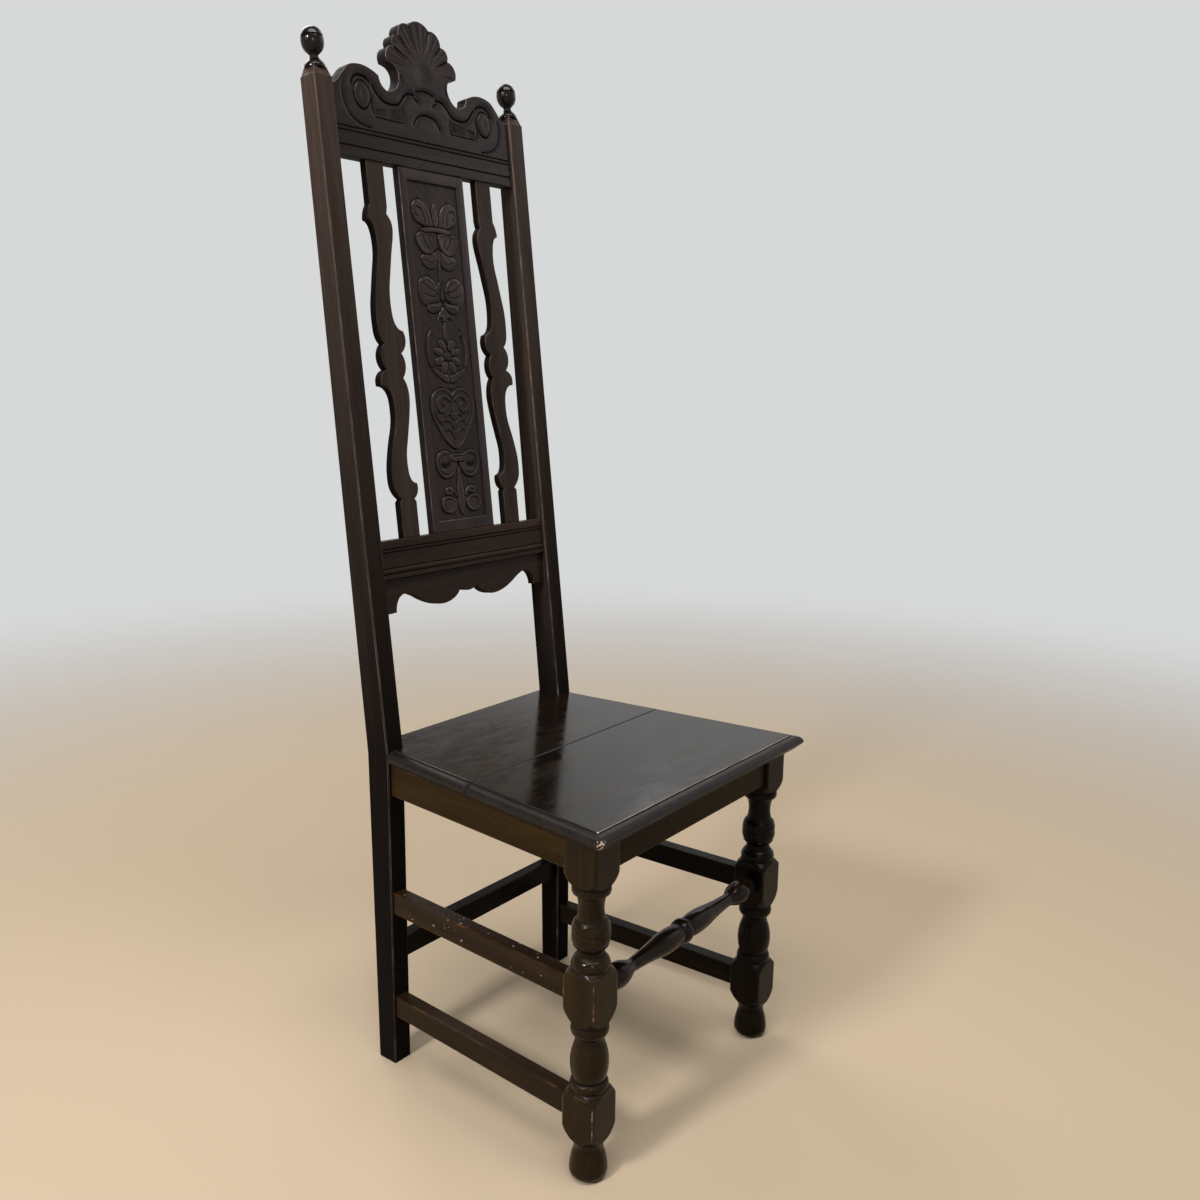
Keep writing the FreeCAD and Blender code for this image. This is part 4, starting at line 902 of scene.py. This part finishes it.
class Shader:
    """A short way to write the nodes of a material or of the world."""

    def __init__(self, owner):
        owner.use_nodes = True
        self.owner = owner
        self.tree = owner.node_tree
        self.surface = self.tree.nodes.get("Principled BSDF")

    def node(self, kind, inputs=(), **settings):
        made = self.tree.nodes.new(kind)
        for key, value in settings.items():
            setattr(made, key, value)
        for key, value in dict(inputs).items():
            self.put(made.inputs[key], value)
        return made

    def put(self, socket, value):
        """Links an output to a socket or sets the socket's value. A colour may come without its alpha."""
        if isinstance(value, bpy.types.NodeSocket):
            self.tree.links.new(value, socket)
        else:
            socket.default_value = (*value, 1.0) if socket.type == "RGBA" and len(value) == 3 else value

    def set(self, **values):
        for key, value in values.items():
            self.put(self.surface.inputs[key.replace("_", " ")], value)

    def attribute(self, name, output="Fac"):
        return self.node("ShaderNodeAttribute", attribute_name=name).outputs[output]

    def noise(self, place, scale, detail, distortion=0.0):
        """Cloudy variation, stretched by a scale along each direction of the timber."""
        stretched = self.node("ShaderNodeMapping", {"Vector": place, "Scale": scale})
        return self.node("ShaderNodeTexNoise", {
            "Vector": stretched.outputs[0], "Scale": 1.0, "Detail": detail, "Distortion": distortion,
        }).outputs["Fac"]

    def ramp(self, value, stops, colours):
        made = self.node("ShaderNodeValToRGB", {"Fac": value})
        elements = made.color_ramp.elements
        while len(elements) < len(stops):
            elements.new(0.5)
        for element, stop, colour in zip(elements, stops, colours):
            element.position = stop
            element.color = (*colour, 1.0)
        return made.outputs["Color"]

    def mix(self, factor, first, second):
        inputs = {0: factor, 6: first, 7: second}
        return self.node("ShaderNodeMix", inputs, data_type="RGBA").outputs[2]

    def calc(self, how, first, second):
        return self.node("ShaderNodeMath", {0: first, 1: second}, operation=how).outputs[0]

    def measure(self, how, first, second=(0.0, 0.0, 0.0)):
        made = self.node("ShaderNodeVectorMath", {0: first, 1: second}, operation=how)
        return made.outputs["Value"]

    def between(self, value, low, high, to_low=0.0, to_high=1.0, way="LINEAR"):
        return self.node("ShaderNodeMapRange", {
            "Value": value, "From Min": low, "From Max": high, "To Min": to_low, "To Max": to_high,
        }, interpolation_type=way).outputs[0]


def oak(name, tones, roughness, shine, worn=0.6, even=0.04, rub=RUBBED_BROWN, pore=1.0, bump=0.35,
        flecks=0.0, knocks=()):
    """Dark stained and polished oak: streaks and open pores along the grain, rubbed edges, painted shade in
    hollows and dark joints.
    Flecks are small pale chips. Knocks, each with its radius, are where the colour is knocked off."""
    s = Shader(bpy.data.materials.new(name))
    place = s.attribute("grain", "Vector")
    wear, shade_and_dirt = s.attribute("wear"), s.attribute("shade_and_dirt")
    figure, lines, pores, cloud, smudge = (s.noise(place, *shape) for shape in OAK_NOISES)
    wood = s.ramp(figure, TONE_STOPS, tones)
    wood = s.mix(s.between(lines, *LINES_SHOW), wood, tones[0])
    wood = s.mix(s.between(cloud, *CLOUD_SHOW), wood, tones[1])
    open_pore = s.between(pores, *PORES_SHOW, 0, PORE_DEPTH * pore)
    wood = s.mix(open_pore, wood, PORE_TONE)
    # Painted shade in hollows, cuts and low parts, and the dark seat joints.
    wood = s.mix(s.between(shade_and_dirt, *SHADE_AND_DIRT_SHOWS), wood, SHADE_AND_DIRT_TONE)
    if flecks:
        wood = s.mix(s.between(s.noise(place, *FLECK_NOISE), *FLECKS_SHOW, 0, flecks), wood, FLECK_TONE)
    patchy = s.calc("MULTIPLY", wear, s.between(smudge, *SMUDGE_RANGE, even, worn))
    here = s.node("ShaderNodeTexCoord").outputs["Object"]
    for spot, radius in knocks:
        broken = s.between(s.noise(here, *KNOCK_NOISE), *ROUGH_RANGE, -radius, radius)
        ragged = s.calc("ADD", s.measure("DISTANCE", here, spot), broken)
        patchy = s.calc("MAXIMUM", patchy, s.between(ragged, 0.5 * radius, 0.65 * radius, 1.0, 0.0))
    wood = s.mix(s.between(patchy, *RUB_SHOWS), wood, s.ramp(patchy, RUB_STOPS, rub))
    rough = s.between(smudge, *ROUGH_RANGE, roughness - SMOOTHER, roughness + ROUGHER)
    rough = s.calc("ADD", rough, s.calc("MULTIPLY", shade_and_dirt, SHADE_AND_DIRT_DULL))
    relief = s.calc("ADD", s.calc("MULTIPLY", lines, LINES_BUMP), s.calc("MULTIPLY", open_pore, PORES_BUMP))
    relief = s.calc("ADD", relief, s.calc("MULTIPLY", figure, FIGURE_BUMP))
    surface = s.node("ShaderNodeBump", {"Strength": bump, "Distance": BUMP_HEIGHT, "Height": relief})
    s.set(Base_Color=wood, Roughness=rough, Normal=surface.outputs[0], Specular_IOR_Level=shine)
    return s.owner


def bare_wood(name):
    """Raw softwood of the glue blocks, seen only from below."""
    s = Shader(bpy.data.materials.new(name))
    place = s.node("ShaderNodeTexCoord").outputs["Object"]
    rings, stain = (s.noise(place, *shape) for shape in BARE_NOISES)
    wood = s.ramp(rings, BARE_STOPS, BARE_TONES)
    wood = s.mix(s.between(stain, *STAIN_SHOWS), wood, BARE_STAIN)
    bump = s.node("ShaderNodeBump", {"Strength": 0.4, "Distance": BARE_BUMP_HEIGHT, "Height": rings})
    s.set(Base_Color=wood, Roughness=s.between(stain, *ROUGH_RANGE, 0.6, 0.8), Normal=bump.outputs[0])
    return s.owner


def toned(tones, by):
    """The tones of a wood made lighter or darker."""
    return [tuple(by * part for part in tone) for tone in tones]


def build_woods():
    """The kinds of oak on the chair, by name, from their tones, roughness, shine, worn, even and rub."""
    near_corner = Vector((SEAT_LOW.x + 5 * MM, SEAT_LOW.y + MM, SEAT_HIGH.z - (MOULD_DROP + 1.5) * MM))
    top_corner = Vector((SEAT_LOW.x + MOULD_WIDTH * MM, SEAT_LOW.y + MOULD_WIDTH * MM, SEAT_HIGH.z))
    edge_knock, top_knock = (near_corner, EDGE_KNOCK), (top_corner, TOP_KNOCK)
    lighter, browner = toned(WARM, 1.25), toned(BROWN, 0.85)
    # The far leg and stretchers, the front rail and the lower back rail and apron take darker oak as painted
    # shade; the lower rail's oak is also reddish.
    woods = {
        "frame": (WARM, 0.3, 0.09, 0.5, 0.04, PALE_RUB_AND_SHEEN),
        # The posts' pale rubbed arrises also paint their highlight.
        "post": (lighter, 0.3, 0.09, 0.9, 0.35, PALE_RUB_AND_SHEEN),
        "stretcher": (browner, 0.3, 0.1),
        "shaded_stretcher": (DARK, 0.3, 0.06),
        "leg": (toned(UMBER, 1.05), 0.15, 0.13, 1.2, 0.04, RUBBED_BARE),
        "shaded_leg": (DARK, 0.15, 0.08, 0.4, 0.04, RUBBED_BARE),
        "turned": (TAWNY, 0.13, 0.15, 0.3),
        "rail": (toned(GOLDEN, 0.78), 0.36, 0.06),
        "shaded_front_rail": (toned(GOLDEN, 0.5), 0.36, 0.05),
        "shaded_lower_rail": (REDDISH, 0.3, 0.09),
        "crest": (SOOTY, 0.18, 0.13, 0.7, 0.15, PALE_RUB_AND_SHEEN),
        "splat": (toned(RUSSET, 1.18), 0.11, 0.18, 0.7, 0.15, PALE_RUB_AND_SHEEN),
        "finial": (BLACK, 0.14, 0.22, 0.1),
    }
    made = {name: oak("oak_" + name, *looks) for name, looks in woods.items()}
    made["chipped"] = oak("oak_chipped", browner, 0.3, 0.1, flecks=0.9)
    made["seat"] = oak("oak_seat", DARK, 0.12, 0.34, 0.9, 0.5, RUBBED_BARE, pore=0.6, bump=0.12,
                       knocks=[edge_knock, top_knock])
    made["seat_edge"] = oak("oak_seat_edge", DARK, 0.24, 0.24, 0.9, 0.1, RUBBED_BARE, knocks=[edge_knock])
    return made


def build_back(woods):
    """Crest, splat, slats, apron and lower rail."""
    crest = both_halves(drawn((0, 0), CREST_HALF, 1.0, LINE_STEP)) + np.array([0, CREST_BASE])
    cuts = [(line + np.array([0, CREST_BASE]), width, width) for line, width, _ in CREST_CUTS]
    sawn_board("crest_carved", crest, CREST_FACE, CREST_THICK, ACROSS, woods["crest"], ["crest_rail"],
               (crest_relief, CREST_SPACING, None, cuts))
    left, right, low, high = -SPLAT_HALF, SPLAT_HALF, PANEL_BASE, CREST_BASE
    sides = [[(right, low)], [(right, high)], [(left, high)], [(left, low)]]
    border = drawn((left, low), sides, line_step=SPLAT_STEP)[:-1]
    inner = np.array([FIELD_SIDE - FIELD_LAP, FIELD_END - FIELD_LAP])
    field = (np.array([left, low]) + inner, np.array([right, high]) - inner)
    strokes = [(line, first, last) for line, first, last, _ in SPLAT_RIDGES]
    strokes += [(line, width, width) for line, width, _ in SPLAT_CUTS]
    for outline, _, _ in splat_lobes():
        closed = outline if goes_across(outline) else outline + outline[:1]
        strokes.append((closed, LOBE_FOOT, LOBE_FOOT))
    sawn_board("splat_carved", border, PANEL_FACE, PANEL_THICK, UP_BACK, woods["splat"], ["splat"],
               (splat_relief, SPLAT_SPACING, field, strokes))
    slat = np.array(drawn(SLAT_START, SLAT_RUNS)[:-1]) + (SLAT_INNER, PANEL_BASE)
    for side, way in (("right", 1), ("left", -1)):
        sawn_board(f"fret_slat_{side}_sawn", slat * (way, 1), PANEL_FACE, PANEL_THICK, UP_BACK,
                   woods["frame"], ["fret_slat_" + side])
    apron = np.array(both_halves(drawn((0, 0), APRON_HALF))) + (0, APRON_TOP)
    sawn_board("back_apron_sawn", apron, APRON_FACE, APRON_THICK, ACROSS, woods["shaded_lower_rail"],
               ["back_apron"])
    moulded_rail("lower_back_rail", woods["shaded_lower_rail"])


def build_turnings(woods):
    """Front legs, front stretcher and finials."""
    leg = drawn(LEG_START, LEG_RUNS, 1.0, LINE_STEP)
    for side, wood in (("left", "leg"), ("right", "shaded_leg")):
        low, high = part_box("front_leg_" + side)
        foot = Vector(((low.x + high.x) / 2, (low.y + high.y) / 2, low.z))
        turned_piece(f"front_leg_{side}_turned", leg, foot, UPRIGHT, woods[wood], ["front_leg_" + side],
                     LEG_COLUMNS, square_shape)
    low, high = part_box("front_stretcher")
    half = drawn(STRETCHER_START, STRETCHER_RUNS, 1.0, LINE_STEP)
    whole = [(r, -x) for r, x in reversed(half[1:])] + half
    middle = Vector((0.0, (low.y + high.y) / 2, (low.z + high.z) / 2))
    turned_piece("front_stretcher_turned", whole, middle, ACROSS, woods["turned"], ["front_stretcher"],
                 shaded_ends=STRETCHER_END_SHADE)
    finial = drawn(FINIAL_START, FINIAL_RUNS, FINIAL_STEP)
    for side, x in (("left", -FINIAL_X), ("right", FINIAL_X)):
        foot = on_back(x, FINIAL_BASE, FINIAL_SET_BACK)
        turned_piece(f"finial_{side}_turned", finial, foot, UP_BACK, woods["finial"], ["finials"],
                     FINIAL_COLUMNS)


def build_frame(woods):
    """Posts, rails and stretchers with their edges rounded, and the glue blocks."""
    for side in ("left", "right"):
        dressed("back_post_" + side, UP_BACK, woods["post"], POST_ARRIS, POST_PAINTED_SHADE)
        dressed("seat_rail_" + side, DEEP, woods["rail"])
    for node, along, wood in (
        ("side_stretcher_lower_left", DEEP, "stretcher"),
        ("side_stretcher_upper_left", DEEP, "chipped"),
        ("side_stretcher_lower_right", DEEP, "shaded_stretcher"),
        ("side_stretcher_upper_right", DEEP, "shaded_stretcher"),
        ("seat_rail_front", ACROSS, "shaded_front_rail"),
        ("seat_rail_back", ACROSS, "rail"),
        ("back_stretcher", ACROSS, "shaded_stretcher"),
    ):
        dressed(node, along, woods[wood])
    raw = bare_wood("bare_glue_block")
    for corner in ("front_left", "front_right", "back_left", "back_right"):
        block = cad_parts["corner_block_" + corner]
        block.data.materials.clear()
        block.data.materials.append(raw)


def build_floor():
    """A pale floor that fades into the pale surroundings."""
    far = FLOOR_REACH
    corners = [(-far, -far, 0), (far, -far, 0), (far, far, 0), (-far, far, 0)]
    mesh = new_mesh("floor", corners, [(0, 1, 2, 3)], BOARD_SHARP)
    floor = add_object("floor", mesh)
    s = Shader(bpy.data.materials.new("pale_floor"))
    away = s.measure("LENGTH", s.node("ShaderNodeTexCoord").outputs["Object"])
    s.set(Base_Color=FLOOR_TONE, Roughness=0.7, Specular_IOR_Level=0.2)
    fade = s.between(away, *FLOOR_FADE, way="SMOOTHSTEP")
    clear = s.node("ShaderNodeBsdfTransparent")
    mixed = s.node("ShaderNodeMixShader", {0: fade, 1: s.surface.outputs[0], 2: clear.outputs[0]})
    s.tree.links.new(mixed.outputs[0], s.tree.nodes["Material Output"].inputs["Surface"])
    mesh.materials.append(s.owner)


def build_surroundings():
    """Pale surroundings, darker overhead and on the side that the seat mirrors, with faint light."""
    world = bpy.data.worlds.new("surroundings")
    bpy.context.scene.world = world
    s = Shader(world)
    s.tree.nodes.clear()
    path = s.node("ShaderNodeLightPath").outputs
    seen = path["Is Camera Ray"]
    for name in ("Is Glossy Ray", "Is Transmission Ray"):
        seen = s.calc("MAXIMUM", seen, path[name])
    way = s.node("ShaderNodeTexCoord").outputs["Generated"]
    height = s.node("ShaderNodeSeparateXYZ", {0: way}).outputs["Z"]
    tone = s.mix(s.between(height, *OVERHEAD, way="SMOOTHSTEP"), WALL_TONE, CEILING_TONE)
    behind = s.between(s.measure("DOT_PRODUCT", way, DARK_SIDE), *DARK_SIDE_EDGE, way="SMOOTHSTEP")
    tone = s.mix(s.calc("MULTIPLY", behind, s.between(height, *DARK_SIDE_FROM)), tone, DARK_SIDE_TONE)
    lighting = s.node("ShaderNodeBackground", {"Color": SKY_TONE, "Strength": SKY_STRENGTH})
    shown = s.node("ShaderNodeBackground", {"Color": tone, "Strength": 1.0})
    mixed = s.node("ShaderNodeMixShader", {0: seen, 1: lighting.outputs[0], 2: shown.outputs[0]})
    s.node("ShaderNodeOutputWorld", {"Surface": mixed.outputs[0]})


def build_lamps():
    for name, place, sizes, watts in LAMPS:
        lamp = bpy.data.lights.new(name, "AREA")
        lamp.energy = watts
        lamp.shape = "RECTANGLE"
        lamp.size, lamp.size_y = sizes
        stand = add_object(name, lamp)
        stand.location = place
        stand.rotation_euler = (Vector(LAMP_TARGET) - stand.location).to_track_quat("-Z", "Y").to_euler()


def build_camera():
    """Camera at the photograph's angle: standing height, in front and to the left of the chair."""
    yaw, pitch, roll = CAMERA_TURNS
    lens = bpy.data.cameras.new("photo_camera")
    lens.sensor_width, lens.lens = CAMERA_SENSOR, CAMERA_LENS
    camera = add_object("photo_camera", lens)
    place = Matrix.Translation(CAMERA_PLACE)
    for turn, axis in ((-yaw, "Z"), (math.pi / 2 - pitch, "X"), (-roll, "Z")):
        place = place @ Matrix.Rotation(turn, 4, axis)
    camera.matrix_world = place
    bpy.context.scene.camera = camera


woods = build_woods()
build_back(woods)
build_seat(woods["seat"], woods["seat_edge"])
build_turnings(woods)
build_frame(woods)
build_floor()
build_surroundings()
build_lamps()
build_camera()
bpy.context.scene.view_settings.view_transform = "Standard"
